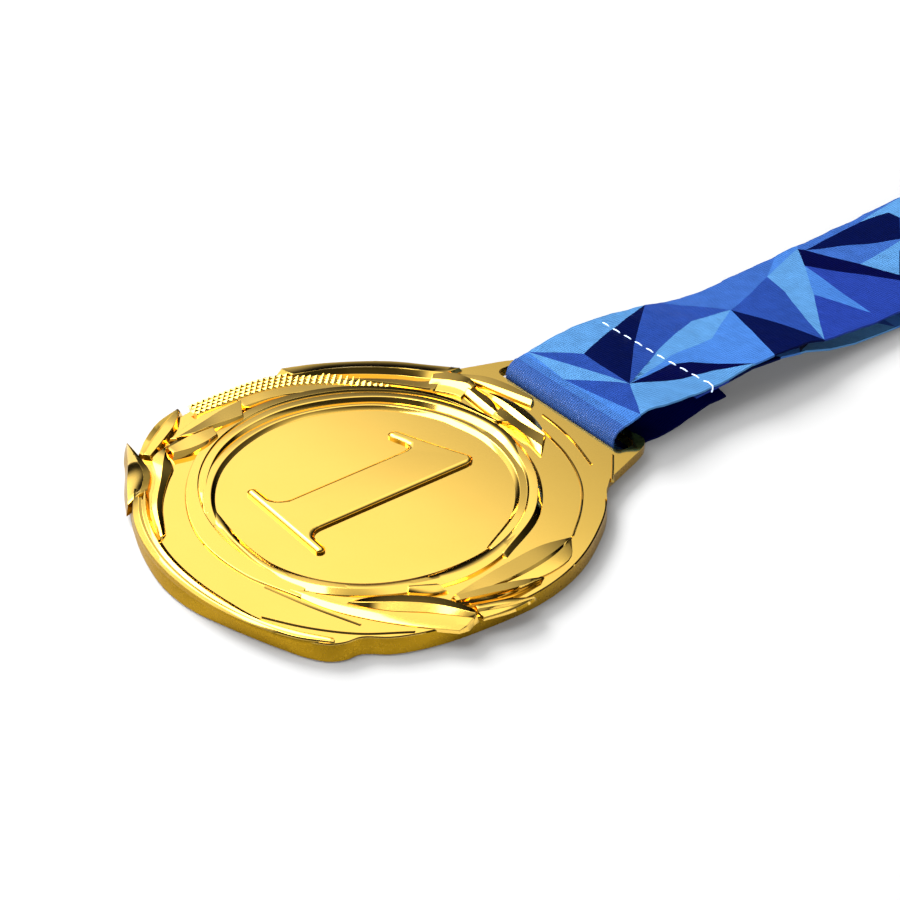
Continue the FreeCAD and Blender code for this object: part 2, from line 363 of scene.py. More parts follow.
@dataclass(frozen=True)
class PolishedGoldPlate:
    """Electroplated gold on polished zinc casting.

    The eye sees a deep yellow mirror whose flats carry a fine polishing grain that softens
    reflections a little, and whose crisp edges stay bright.
    """

    name: str = "gold_plated_zinc_polished"
    colour: str = "#FACF62"
    worn_colour: str = "#F6C95A"
    roughness: float = 0.085
    grain_mm: float = 0.35

    def material(self) -> bpy.types.Material:
        """Builds the node material.

        Returns:
            The finished material.
        """
        made, tree = blank(self.name)
        where = add_node(tree, "ShaderNodeTexCoord")
        patch = add_node(tree, "ShaderNodeTexNoise", {"Scale": 90.0, "Detail": 3.0},
                         {"Vector": where.outputs["Object"]})
        grain = add_node(tree, "ShaderNodeTexNoise", {"Scale": 1.0 / (self.grain_mm * MM),
                                                      "Detail": 4.0},
                         {"Vector": where.outputs["Object"]})
        tone = add_node(tree, "ShaderNodeMix", {"data_type": "RGBA", 6: linear(self.colour),
                                                7: linear(self.worn_colour)},
                        {0: patch.outputs["Fac"]})
        rough = add_node(tree, "ShaderNodeMapRange",
                         {"From Min": 0.3, "From Max": 0.7, "To Min": self.roughness * 0.8,
                          "To Max": self.roughness * 1.3}, {"Value": grain.outputs["Fac"]})
        bump = add_node(tree, "ShaderNodeBump", {"Strength": 0.05, "Distance": 0.00002},
                        {"Height": grain.outputs["Fac"]})
        shader = add_node(tree, "ShaderNodeBsdfPrincipled", {"Metallic": 1.0},
                          {"Base Color": tone.outputs[2], "Roughness": rough.outputs[0],
                           "Normal": bump.outputs[0]})
        add_node(tree, "ShaderNodeOutputMaterial", {}, {"Surface": shader.outputs[0]})
        return made


@dataclass(frozen=True)
class PrintedSatinRibbon:
    """Sublimation-printed polyester satin ribbon.

    The eye sees flat blue facets on cloth with fine ribs, almost without gloss, and small
    bright strokes on the ribs where the cloth is pulled tight round the fold.
    """

    name: str = "polyester_satin_printed"
    rib_mm: float = 0.42
    roughness: float = 0.5
    gloss: float = 0.02
    rib_depth: float = 0.6
    gloss_tint: str = "#7F9FFF"

    def material(self) -> bpy.types.Material:
        """Builds the node material.

        Returns:
            The finished material.
        """
        made, tree = blank(self.name)
        shade = add_node(tree, "ShaderNodeAttribute", {"attribute_name": "print"})
        cloth = add_node(tree, "ShaderNodeUVMap", {"uv_map": "flat_cloth"})
        ribs = add_node(tree, "ShaderNodeTexWave",
                        {"wave_type": "BANDS", "bands_direction": "X",
                         "Scale": WAVE_UNIT / (self.rib_mm * MM), "Distortion": 0.6,
                         "Detail": 2.0, "Detail Scale": 2.0}, {"Vector": cloth.outputs[0]})
        picks = add_node(tree, "ShaderNodeTexWave",
                         {"wave_type": "BANDS", "bands_direction": "Y",
                          "Scale": WAVE_UNIT / (self.rib_mm * 0.6 * MM), "Distortion": 0.4},
                         {"Vector": cloth.outputs[0]})
        mottle = add_node(tree, "ShaderNodeTexNoise", {"Scale": 420.0, "Detail": 4.0},
                          {"Vector": cloth.outputs[0]})
        both = add_node(tree, "ShaderNodeMath", {"operation": "ADD"},
                        {0: ribs.outputs["Fac"], 1: picks.outputs["Fac"]})
        value = add_node(tree, "ShaderNodeMapRange", {"From Min": 0.3, "From Max": 0.7,
                                                      "To Min": 0.90, "To Max": 1.10},
                         {"Value": mottle.outputs["Fac"]})
        tone = add_node(tree, "ShaderNodeHueSaturation", {}, {"Value": value.outputs[0],
                                                              "Color": shade.outputs["Color"]})
        bump = add_node(tree, "ShaderNodeBump", {"Strength": self.rib_depth, "Distance": 0.0001},
                        {"Height": both.outputs[0]})
        shader = add_node(tree, "ShaderNodeBsdfPrincipled",
                          {"Roughness": self.roughness, "Specular Tint": linear(self.gloss_tint),
                           "Specular IOR Level": self.gloss},
                          {"Base Color": tone.outputs[0], "Normal": bump.outputs[0]})
        add_node(tree, "ShaderNodeOutputMaterial", {}, {"Surface": shader.outputs[0]})
        return made


@dataclass(frozen=True)
class PolyesterThread:
    """Twisted polyester sewing thread.

    The eye sees a pale blue thread with a slight gloss on each ply.
    """

    colour: str = "#B4C8EE"
    twist_mm: float = 0.5

    def material(self) -> bpy.types.Material:
        """Builds the node material.

        Returns:
            The finished material.
        """
        made, tree = blank("polyester_sewing_thread")
        where = add_node(tree, "ShaderNodeTexCoord")
        twist = add_node(tree, "ShaderNodeTexWave",
                         {"wave_type": "BANDS", "bands_direction": "DIAGONAL",
                          "Scale": WAVE_UNIT / (self.twist_mm * MM), "Distortion": 1.0},
                         {"Vector": where.outputs["Object"]})
        bump = add_node(tree, "ShaderNodeBump", {"Strength": 0.5, "Distance": 0.00005},
                        {"Height": twist.outputs["Fac"]})
        shader = add_node(tree, "ShaderNodeBsdfPrincipled",
                          {"Base Color": linear(self.colour), "Roughness": 0.45,
                           "Sheen Weight": 0.2}, {"Normal": bump.outputs[0]})
        add_node(tree, "ShaderNodeOutputMaterial", {}, {"Surface": shader.outputs[0]})
        return made


# ---------------------------------------------------------------- the medal


@dataclass
class Medal:
    """The cast medal: disc, slotted hanger, numeral, twisted rings and leaf sprays."""

    thickness: float = FIELD_Z
    hanger_low: float = 0.9
    slot: tuple[float, float, float, float] = (-14.4, 14.4, 35.5, 39.4)
    foot: Sequence[tuple[float, float]] = (
        (0, 32.6), (12, 33.2), (24, 33.7), (36, 34.0), (48, 34.5), (60, 34.0), (75, 33.3),
        (90, 33.0), (105, 33.2), (120, 33.8), (135, 34.4), (147, 34.8), (160, 34.8), (175, 34.6),
        (185, 34.9), (195, 35.4), (205, 35.7), (213, 35.7), (222, 35.2), (228, 34.4), (234, 33.6),
        (240, 33.3), (246, 33.0), (258, 32.8), (270, 33.0), (282, 32.9), (288, 32.7), (300, 33.1),
        (306, 33.7), (312, 34.5), (317, 34.8), (320, 34.3), (323, 33.2), (330, 33.4), (342, 32.9),
        (354, 32.5), (360, 32.6))
    rim: Sequence[tuple[float, float]] = (
        (0, 32.5), (12, 33.1), (24, 33.5), (36, 33.8), (48, 34.3), (60, 33.7), (75, 33.1),
        (90, 32.8), (105, 33.0), (120, 33.6), (135, 34.2), (147, 34.6), (160, 34.5), (175, 34.3),
        (185, 34.4), (195, 34.9), (205, 35.2), (213, 35.0), (222, 34.5), (228, 33.8), (234, 33.2),
        (240, 32.9), (246, 32.6), (258, 32.4), (270, 32.35), (282, 32.35), (288, 32.4),
        (300, 32.8), (306, 33.3), (312, 33.9), (317, 34.1), (320, 33.6), (323, 32.6), (330, 32.8),
        (342, 32.5), (354, 32.4), (360, 32.5))
    shoulder: Sequence[tuple[float, float]] = (
        (0, .15), (180, .3), (200, .7), (215, .95), (250, .9), (270, .5), (290, .25), (360, .15))
    outline_steps: int = 288
    slot_corner: float = 1.5
    edge_round: float = 0.14
    numeral_height: float = 0.62
    numeral_round: float = 0.72
    stud_pitch: float = 1.2
    stud_rows: int = 4
    stud_steps: int = 70
    stud_height: float = 0.44
    stud_lean: tuple[float, float] = (0.18, 0.03)
    hanger: Sequence[tuple[float, float]] = (
        (-22.5, 26.0), (22.5, 26.0), (20.6, 27.6), (18.8, 29.9), (17.9, 32.7), (17.0, 35.4),
        (16.3, 37.6), (15.8, 38.9), (15.4, 39.8), (14.8, 40.6), (14.0, 41.1), (13.1, 41.2),
        (12.0, 40.9), (11.0, 40.8), (-11.0, 40.8), (-12.0, 40.9), (-13.1, 41.2), (-14.0, 41.1),
        (-14.8, 40.6), (-15.4, 39.8), (-15.8, 38.9), (-16.3, 37.6), (-17.0, 35.4), (-17.9, 32.7),
        (-18.8, 29.9), (-20.6, 27.6))

    def outline(self, table: Sequence[tuple[float, float]]) -> np.ndarray:
        """Samples a closed outline at small steps, smoothly through its radii.

        Args:
            table: pairs of angle in degrees and radius.

        Returns:
            Points of the outline, without heights.
        """
        # Angles are scaled down so that they and the radii change at a like rate.
        per_degree = 0.4
        line = through([(a * per_degree, r, 0.0) for a, r in table], self.outline_steps + 1)[:-1]
        turns = np.radians(line[:, 0] / per_degree)
        return np.stack([line[:, 1] * np.cos(turns), line[:, 1] * np.sin(turns)], axis=1)

    def disc(self) -> bpy.types.Object:
        """Builds the disc: walls that spread towards the back and a narrow shoulder on top.

        Returns:
            The new object.
        """
        foot, rim = self.outline(self.foot), self.outline(self.rim)
        turn = np.linspace(0, 360, len(rim), endpoint=False)
        drop = np.interp(turn, *zip(*self.shoulder))[:, None]
        top = rim * (1 - drop / np.linalg.norm(rim, axis=1)[:, None])
        flat = np.full_like(drop, self.thickness)
        return stacked("disc", [np.hstack([foot * 0.994, flat * 0]), np.hstack([foot, flat * 0.08]),
                                np.hstack([rim, flat - drop]), np.hstack([top, flat])])

    def plate(self) -> bpy.types.Object:
        """Builds the disc and hanger, with the ribbon slot cut and all edges rounded.

        Returns:
            The new object.
        """
        disc = self.disc()
        hanger = prism("hanger", self.hanger, self.hanger_low, self.thickness)
        left, right, low, high = self.slot
        clear_selection()
        bpy.ops.mesh.primitive_cube_add(size=1.0, location=((left + right) / 2 * MM,
                                                            (low + high) / 2 * MM, 0.002))
        cutter = named("slot_cutter")
        cutter.scale = ((right - left) * MM, (high - low) * MM, 0.01)
        bpy.ops.object.transform_apply(location=True, rotation=True, scale=True)
        bpy.ops.object.mode_set(mode="EDIT")
        bpy.ops.mesh.select_all(action="DESELECT")
        bpy.ops.object.mode_set(mode="OBJECT")
        for edge in cutter.data.edges:
            a, b = (cutter.data.vertices[i].co for i in edge.vertices)
            edge.select = abs(a.z - b.z) > 0.001
        bpy.ops.object.mode_set(mode="EDIT")
        bpy.ops.mesh.select_mode(type="EDGE")
        bpy.ops.mesh.bevel(offset=self.slot_corner * MM, segments=6)
        bpy.ops.object.mode_set(mode="OBJECT")
        modify(disc, "BOOLEAN", operation="UNION", object=hanger, solver="EXACT")
        modify(disc, "BOOLEAN", operation="DIFFERENCE", object=cutter, solver="EXACT")
        bpy.data.objects.remove(hanger)
        bpy.data.objects.remove(cutter)
        outward(disc)
        modify(disc, "BEVEL", width=self.edge_round * MM, segments=2, limit_method="ANGLE",
               angle_limit=math.radians(40), use_clamp_overlap=True)
        return disc

    def numeral(self) -> bpy.types.Object:
        """Builds the raised upright figure one with rounded sides.

        Returns:
            The new object.
        """
        foot, serif, left, right, bracket = -14.1, -12.6, -4.4, 3.85, 2.1
        quarter = [math.radians(90 * step / 6) for step in range(1, 7)]
        outline = [(-9.7, foot), (8.6, foot), (8.6, serif)]
        outline += [(right + bracket * (1 - math.sin(t)), serif + bracket * (1 - math.cos(t)))
                    for t in quarter]
        outline += [(right, 15.8), (3.6, 16.6), (2.9, 17.1), (2.2, 17.1), (-1.0, 15.7),
                    (-5.0, 14.1), (-9.8, 12.3), (-9.5, 10.5), (-8.0, 10.8), (-6.4, 11.4),
                    (-5.3, 11.6), (-4.6, 11.0), (left, 10.2)]
        outline += [(left - bracket * (1 - math.sin(t)), serif + bracket * (1 - math.cos(t)))
                    for t in reversed(quarter)]
        outline += [(-9.7, serif)]
        figure = prism("numeral", outline, self.thickness - 0.4,
                       self.thickness + self.numeral_height)
        for edge in figure.data.edges:
            ends = [figure.data.vertices[i].co.z for i in edge.vertices]
            edge.select = min(ends) > (self.thickness + 0.4) * MM
        pick(figure)
        bpy.ops.object.mode_set(mode="EDIT")
        bpy.ops.mesh.select_mode(type="EDGE")
        bpy.ops.mesh.bevel(offset=self.numeral_round * MM, segments=4, profile=0.5)
        bpy.ops.object.mode_set(mode="OBJECT")
        # The left side of the stem sinks almost into the field.
        for vertex in figure.data.vertices:
            x, y, height = vertex.co / MM
            low = min(max((0.5 - x) / 4.5, 0), 1) * min(max((y + 11.5) / 2.5, 0), 1)
            low *= min(max((9.6 - y) / 2.0, 0), 1)
            if height > self.thickness:
                vertex.co.z -= (height - self.thickness) * 0.86 * low * MM
        return figure

    def rings(self) -> list[bpy.types.Object]:
        """Builds the twisted rings round the field.

        Returns:
            The new objects.
        """
        turns = ((36, .2), (44, .8), (60, 1.0), (100, 1.0), (140, 1.0), (180, 1.0), (220, 1.0),
                 (244, .8), (255, .1))
        first = [ring(*[(a, r, h * f) for a, f in turns])
                 for r, h in ((21.3, -.05), (21.62, .13), (21.95, .5), (22.2, .52), (23.1, .42),
                              (23.3, .1))]
        second = [
            ring((62, 22.9, .3), (90, 22.9, .35), (130, 23.2, .2), (180, 23.2, .15),
                 (208, 23.2, .1), (228, 22.6, .1), (248, 22.2, .05)),
            ring((62, 23.7, .55), (90, 23.95, .95), (130, 23.8, .95), (180, 23.7, .95),
                 (208, 23.6, .7), (228, 22.9, .5), (248, 22.4, .3)),
            ring((62, 24.0, .55), (90, 24.35, .98), (130, 24.1, .97), (180, 24.0, .97),
                 (208, 23.9, .72), (228, 23.2, .5), (248, 22.6, .3)),
            ring((62, 24.9, .2), (90, 25.2, .75), (130, 25.35, .8), (180, 25.3, .82),
                 (208, 24.9, .58), (228, 24.1, .4), (248, 23.1, .2)),
            ring((62, 25.1, .0), (90, 25.5, .2), (130, 25.7, .4), (180, 25.6, .4),
                 (208, 25.2, .1), (228, 24.3, .05), (248, 23.3, .05))]
        third = [
            ring((95, 25.5, .3), (120, 25.6, .4), (150, 25.5, .5), (180, 25.4, .5),
                 (205, 24.9, .25), (225, 24.1, .15), (245, 23.1, .1), (262, 22.3, .05),
                 (285, 22.3, .05), (305, 23.7, .05)),
            ring((95, 25.8, .7), (120, 25.85, .95), (150, 25.75, 1.05), (180, 25.65, 1.05),
                 (205, 25.15, .85), (225, 24.35, .7), (245, 23.35, .55), (262, 22.7, .45),
                 (285, 22.7, .4), (305, 24.0, .3)),
            ring((95, 26.6, .5), (120, 27.0, .7), (150, 27.2, .84), (180, 27.3, .84),
                 (205, 26.6, .68), (225, 25.8, .5), (245, 25.35, .4), (262, 25.25, .34),
                 (285, 25.15, .32), (305, 25.8, .25)),
            ring((95, 26.8, .0), (120, 27.2, .2), (150, 27.4, .3), (180, 27.5, .3),
                 (205, 26.8, -.02), (225, 26.05, -.05), (245, 25.55, -.05), (262, 25.45, -.05),
                 (285, 25.35, -.05), (305, 26.0, -.05))]
        right = [
            ring((14, 21.5, -.05), (40, 21.3, -.02), (60, 21.3, -.02), (90, 21.3, -.02),
                 (112, 21.4, -.02)),
            ring((14, 21.8, .1), (40, 21.7, .2), (60, 21.7, .2), (90, 21.65, .2),
                 (112, 21.7, .2)),
            ring((14, 22.1, .35), (40, 22.0, .52), (60, 22.0, .54), (90, 21.95, .54),
                 (112, 22.1, .45)),
            ring((14, 23.4, .35), (40, 23.0, .46), (60, 23.1, .46), (90, 23.2, .46),
                 (112, 23.3, .4)),
            ring((14, 23.7, .5), (40, 23.3, .75), (60, 23.4, .8), (90, 23.6, .6), (112, 23.7, .5)),
            ring((14, 24.5, .5), (40, 24.5, .8), (60, 24.6, .85), (90, 24.6, .6), (112, 24.6, .5)),
            ring((14, 25.2, .0), (40, 25.3, .0), (60, 25.3, .0), (90, 25.6, .1), (112, 26.0, .1))]
        second_bead = [
            [(-9, -19.6, 0), (0, -20.5, 0), (7, -19.8, 0), (13, -16.9, 0), (17.5, -12.4, 0),
             (20.2, -7, 0), (21.4, -1, 0), (21.2, 5, 0), (18.9, 11.6, 0), (17.6, 14.2, 0)],
            [(-7.9, -20.3, .1), (.5, -21.3, .45), (7.7, -20.7, .55), (13.7, -17.6, .6),
             (18.2, -13.5, .65), (21.3, -7.3, .6), (22.8, -.4, .5), (22.2, 5.6, .5),
             (19.8, 11.8, .5), (18.5, 13.9, .4)],
            [(-6.8, -20.9, .15), (.6, -21.7, .5), (7.7, -21.4, .6), (14, -18.6, .65),
             (18.6, -14.2, .7), (22, -7.8, .65), (23.7, -.5, .6), (23.1, 5.3, .6),
             (20.6, 11.7, .6), (19, 13.7, .5)],
            [(-5.9, -21.4, .1), (.1, -22, .1), (7.1, -21.9, .1), (14.1, -19.7, .1),
             (18.8, -15.3, .15), (22.8, -8.6, .2), (24.7, -.3, .4), (23.9, 5.4, .45),
             (21.4, 11, .45), (19.3, 13.7, .4)]]
        return [loft("ring_first", first, -0.5, 140), loft("ring_second", second, -0.5, 120),
                loft("ring_third", third, -0.5, 140), loft("ring_right", right, -0.5, 70),
                loft("bead_second", second_bead, -0.5, 90)]

    def rim_forms(self) -> list[bpy.types.Object]:
        """Builds the sickle at the bottom and the channelled blade at the upper left.

        Returns:
            The new objects.
        """
        sickle = [
            [(-18.2, -24.9, .1), (-12.9, -27.6, .05), (-5, -29.7, 0), (3, -29.9, 0),
             (10, -28.9, 0), (15, -27.7, 0), (20, -25.2, 0), (24, -22.3, 0)],
            [(-18.3, -25.4, .75), (-12.5, -28.4, .7), (-4.5, -30.5, .6), (3.5, -30.7, .55),
             (10.4, -29.7, .5), (15.4, -28.3, .45), (20.3, -25.7, .4), (24.6, -22.6, .3)],
            [(-18.7, -25.8, .35), (-12.55, -28.9, .35), (-4.5, -30.95, .35), (3.5, -31.15, .35),
             (10.4, -30.05, .3), (15.4, -28.5, .3), (20.55, -26.0, .25), (24.75, -22.7, .2)],
            [(-19.1, -26.1, .55), (-12.6, -29.4, .5), (-4.5, -31.4, .45), (3.5, -31.6, .45),
             (10.5, -30.4, .4), (15.4, -28.7, .35), (20.8, -26.3, .3), (24.9, -22.8, .2)],
            [(-20.2, -26.2, .1), (-13.4, -30, .1), (-5.9, -31.9, .05), (3.1, -32.1, .0),
             (10.1, -30.9, .0), (15.6, -29.1, .0), (21.6, -26, .0), (25.1, -22.8, .0)]]
        blade = [
            [(-34.3, 8.3, .75), (-32.7, 12.2, .8), (-29.6, 17.9, .8), (-25.6, 23.4, .8),
             (-20.8, 27.8, .8), (-17.7, 30.9, .7)],
            [(-32.9, 8.3, .8), (-31.1, 12.7, .85), (-28.3, 17.8, .85), (-24.4, 22.9, .85),
             (-19.9, 27.0, .85), (-17.7, 29.4, .75)],
            [(-31.3, 8.3, 1.1), (-29.2, 13.2, 1.28), (-26.7, 17.6, 1.28), (-23, 22.2, 1.28),
             (-19, 26.1, 1.2), (-17.8, 27.8, .95)],
            [(-30.5, 9.1, .6), (-28.6, 13.6, .4), (-26.1, 17.4, .35), (-22.1, 22.1, .35),
             (-18.2, 25.5, .4), (-17, 26.6, .5)],
            [(-29.7, 8.8, .75), (-27.3, 12.2, .6), (-24.1, 16.3, .64), (-20.4, 19.7, .66),
             (-16.3, 22.9, .66), (-15.1, 23.9, .66)]]
        facet = [
            [(-19.3, 27.1, .9), (-16.4, 29.1, .95), (-13.4, 29.9, 1.0), (-11.7, 29.4, 1.0)],
            [(-17.4, 25.1, 1.0), (-14.7, 27.3, 1.1), (-11.7, 28.4, 1.1), (-11.4, 28.3, 1.0)],
            [(-17, 24.2, .5), (-15, 26.1, .5), (-12.3, 27.2, .5), (-11.6, 27.2, .5)],
            [(-16.1, 23, .4), (-14.3, 24.5, .4), (-11.7, 25.9, .4), (-11.1, 26, .4)]]
        inner = [
            [(-30.6, -2.4, 1.0), (-30.3, 2.1, 1.0), (-28.7, 7.7, .8), (-25.6, 12.9, .6),
             (-21.7, 16.5, .5), (-17.5, 18.8, .4)],
            [(-28, -2.7, 1.1), (-27.7, 2.1, 1.05), (-26.5, 6.5, .9), (-23.7, 11.2, .7),
             (-19.9, 15.1, .55), (-16.7, 17.9, .4)],
            [(-27.8, -2.2, .5), (-27.5, 2.6, .5), (-26, 6.8, .5), (-23.3, 11, .45),
             (-19.7, 14.8, .4), (-16.6, 17.6, .35)]]
        return [loft("sickle", sickle, -0.6, 70), loft("blade", blade, -0.6, 60),
                loft("blade_facet", facet, -0.5, 24), loft("inner_ridge", inner, -0.5, 50)]

    def leaves(self) -> list[bpy.types.Object]:
        """Builds the leaf sprays; each leaf has an outer edge, a ridge and an inner edge.

        Returns:
            The new objects.
        """
        sprays = {
            "left_a": [[(-33.8, -11.0, .8), (-32.3, -15.1, .8), (-29.7, -18.8, .6),
                        (-27, -21.4, .5)],
                       [(-33.7, -11.0, .7), (-31.9, -14.6, .35), (-29.3, -18.1, .3),
                        (-26.7, -21.1, .3)],
                       [(-33.8, -10.9, .8), (-31.2, -14.4, 1.1), (-28.5, -18.0, 1.1),
                        (-25.9, -21.2, .9)],
                       [(-33.5, -10.8, .7), (-30.1, -13.6, 1.0), (-27.6, -16.9, 1.0),
                        (-25.2, -20.6, .8)]],
            "left_b": [[(-31, -1.5, 1.0), (-30.8, -5.8, .8), (-29.6, -10.7, .7),
                        (-27.5, -15.9, .6)],
                       [(-29.9, -1.9, .8), (-29.4, -5.4, .8), (-28.2, -9.9, .75),
                        (-27.0, -15.1, .6)],
                       [(-29.8, -2.1, 1.05), (-29.3, -5.6, 1.05), (-28.1, -10.1, 1.0),
                        (-26.9, -15.2, .9)],
                       [(-25.7, -4.4, 1.4), (-25.8, -7.1, 1.35), (-26.1, -9.5, 1.3),
                        (-26.0, -12.6, 1.2)]],
            "left_c": [[(-27, -9, 1.0), (-27.3, -11.8, .8), (-26.9, -14.7, .7), (-26.1, -17, .6)],
                       [(-26.4, -9.2, .8), (-26.2, -12.2, .8), (-25.8, -14.9, .75),
                        (-25.4, -17.6, .6)],
                       [(-26.3, -9.3, 1.05), (-26.1, -12.3, 1.05), (-25.7, -15.0, 1.0),
                        (-25.3, -17.7, .9)],
                       [(-23.7, -10.1, 1.25), (-23.0, -12.4, 1.25), (-22.9, -14.9, 1.15),
                        (-23.4, -17.7, 1.1)]],
            "left_d": [[(-25.7, -17.2, 1.0), (-24.5, -20.5, .9), (-20.7, -22.3, .8),
                        (-15, -26.3, .5), (-7.5, -29.2, .4)],
                       [(-24.7, -18.3, 1.2), (-22.1, -20.2, 1.2), (-19.2, -22.2, 1.0),
                        (-14.1, -25.9, .75), (-7.4, -28.9, .5)],
                       [(-23.7, -18.4, .6), (-21.1, -19.3, .5), (-18.9, -21.3, .4),
                        (-14.3, -24.9, .25), (-7.8, -28.2, .15)]],
            "left_e": [[(-30.3, -21.7, .4), (-26.8, -23.5, -.25), (-22, -26.3, -.15),
                        (-17.6, -28.6, -.2)],
                       [(-30, -21.7, .8), (-26.0, -23.1, .5), (-21.7, -25.0, .3),
                        (-18.0, -27.4, .1)],
                       [(-29.9, -21.8, 1.0), (-25.1, -22.9, 1.2), (-20.5, -24.3, 1.2),
                        (-17.5, -26.8, .8)],
                       [(-29.4, -21.7, .9), (-25.5, -22.1, .9), (-21.0, -23.0, .9),
                        (-18.0, -25.2, .6)]],
            "top_a": [[(-16.6, 29.8, .55), (-12.9, 32.5, .8), (-8.4, 33.9, .85), (-3.8, 34.3, .85)],
                      [(-15.9, 29.5, .6), (-10.3, 31.5, .9), (-6.4, 32.7, .95), (-3.2, 33.7, .9)],
                      [(-15.3, 29.6, .4), (-10.4, 31, .5), (-6.4, 32, .5), (-2.7, 33, .45)]],
            "top_b": [[(-11.6, 29.8, .5), (-7.3, 31.1, .6), (-2.6, 31.5, .5), (1.5, 30.9, .4),
                       (4.3, 29.9, .3)],
                      [(-11.3, 29.1, .9), (-5.8, 29.8, 1.0), (.1, 29.6, .9), (5, 29.3, .7)],
                      [(-11.7, 29.1, .6), (-6.4, 29.2, .5), (-.4, 28.8, .5), (5.1, 28.8, .45)]],
            "top_c": [[(-12.1, 29, .8), (-8.1, 29.1, .7), (-4.3, 28.1, .55)],
                      [(-11.8, 27.8, 1.0), (-7.8, 27.4, 1.0), (-3.6, 27.1, .9)],
                      [(-11.7, 27, .5), (-7.8, 26.6, .5), (-3.2, 26.5, .45)]],
            "top_d": [[(-4.7, 28.6, .7), (.7, 28.7, .6), (5.1, 29.1, .6)],
                      [(-3.9, 26.8, .9), (1.1, 26.7, .9), (7.3, 26.7, .8)],
                      [(-4, 26.3, .35), (2.4, 26.7, .35), (8.4, 25.6, .3)]],
            "right_a": [[(26.4, 15.8, .3), (25.7, 11.4, .62), (25.9, 4.9, .68), (26.4, -.1, .68),
                         (27, -4.9, .6)],
                        [(26.7, 15.2, .2), (28.3, 10, .6), (29, 3.4, .65), (28.1, -5, .5)],
                        [(26.7, 15.6, .05), (29.6, 12.9, .15), (30.5, 8.8, .2), (30, 3.4, .2),
                         (28.1, -5.1, .2)]],
            "right_b": [[(30.9, 6.9, .4), (29.9, 3.3, .85), (28.5, -.7, .85), (27.3, -5.5, .75)],
                        [(31.2, 6.3, .3), (31, 2, .75), (29.8, -1.8, .75), (28.3, -5.8, .6)],
                        [(31.1, 6.5, .1), (31.2, 3.1, .15), (30.4, -1.2, .2), (28.7, -5.5, .2)]],
            "right_c": [[(33.3, 3.3, .3), (32.1, .2, .72), (30.4, -4.3, .72)],
                        [(33.4, 3, .2), (33, -.3, .6), (31.3, -4.6, .6)],
                        [(33.5, 3.2, .05), (33.5, -.1, .1), (32.5, -4.5, .1)]],
            "right_d": [[(31.1, -4.8, .7), (26.9, -6.7, .7), (23, -10.5, .65), (21, -13.6, .6),
                         (19.5, -16.6, .4)],
                        [(32, -5.5, 1.0), (27.8, -8.3, 1.05), (24, -12.2, 1.0),
                         (21.7, -15.2, .9), (19.8, -17, .6)],
                        [(32.2, -6, .55), (27.6, -10.1, .5), (24.3, -13.8, .45),
                         (21.9, -15.7, .4), (19.8, -17.2, .3)]],
            "right_e": [[(32.2, -6.1, .6), (27.9, -10.2, .6), (24.5, -13.9, .55),
                         (20.2, -17.2, .5), (14.5, -19.7, .4)],
                        [(32.8, -7.6, .5), (28.6, -11.2, .5), (24.7, -14.6, .45),
                         (19.9, -18.1, .4), (13.4, -21.1, .35)],
                        [(32.7, -8.7, .1), (28.9, -12.4, .12), (24.7, -15.9, .12),
                         (19.1, -19.5, .12), (10.1, -22.5, .12)]],
            "right_f": [[(23.9, -5.6, .8), (22.9, -7.3, .8), (21.9, -8.8, .7)],
                        [(24.6, -5.4, .85), (23.6, -7.2, .85), (22.3, -9.1, .75)],
                        [(25.5, -5.2, .4), (24.7, -7.1, .4), (22.7, -9.4, .35)]],
        }
        # The long leaves at the right have a thin deep cut below the ridge.
        for name in ("right_a", "right_b", "right_c"):
            edge, ridge, rim = (np.array(rail) for rail in sprays[name])
            ridge = np.array([np.interp(np.linspace(0, 1, len(rim)), np.linspace(0, 1, len(ridge)),
                                        column) for column in ridge.T]).T
            ridge[:, 2] += 0.25
            trough = ridge * 0.88 + rim * 0.12
            trough[:, 2] = ridge[:, 2] * 0.35 + rim[:, 2] * 0.65
            brow = ridge * 0.35 + rim * 0.65
            brow[:, 2] = ridge[:, 2] * 0.2 + rim[:, 2] * 0.8
            sprays[name] = [edge, ridge, trough, brow, rim]
        depth = {"left_e": -1.6, "left_a": -1.0}
        return [loft("leaf_" + name, rails, depth.get(name, -0.4), 20)
                for name, rails in sprays.items()]

    def hatch(self) -> list[bpy.types.Object]:
        """Builds the chequered band: a sloping shelf with staggered rows of small pyramids.

        Returns:
            The new objects.
        """
        outer = [(-34.8, -8.2, .1), (-34.6, -2.3, .4), (-34.3, 3.6, .5), (-33.1, 8.1, .5),
                 (-29.7, 12.7, .45), (-24.9, 16.8, .3), (-20.8, 19.3, .2)]
        inner = [(-30.4, -9.5, 1.05), (-30.3, -3.1, 1.25), (-29.9, 1.9, 1.25), (-28.3, 7.6, 1.05),
                 (-25.2, 12.8, .85), (-21.3, 16.4, .7), (-17.2, 18.7, .6)]
        lower = [[(x, y, h - 0.15) for x, y, h in line] for line in (outer, inner)]
        parts = [loft("hatch_shelf", lower, -0.6, 60)]
        left, right = through(outer, self.stud_steps), through(inner, self.stud_steps)
        for row in range(self.stud_rows):
            share = (row + 0.5) / self.stud_rows
            for step in range(row % 2, self.stud_steps - 1, 2):
                x, y, h = left[step] * (1 - share) + right[step] * share
                clear_selection()
                bpy.ops.mesh.primitive_cone_add(
                    vertices=4, radius1=0.5 * self.stud_pitch * MM, radius2=0.05 * MM,
                    depth=self.stud_height * MM,
                    location=(x * MM, y * MM, (FIELD_Z + h) * MM),
                    rotation=(0, 0, math.radians(50)))
                stud = bpy.context.object
                # The tip leans to one side, in the stud's own turned axes.
                for vertex in stud.data.vertices:
                    if vertex.co.z > 0:
                        vertex.co.x += self.stud_lean[0] * MM
                        vertex.co.y += self.stud_lean[1] * MM
                parts.append(stud)
        return parts

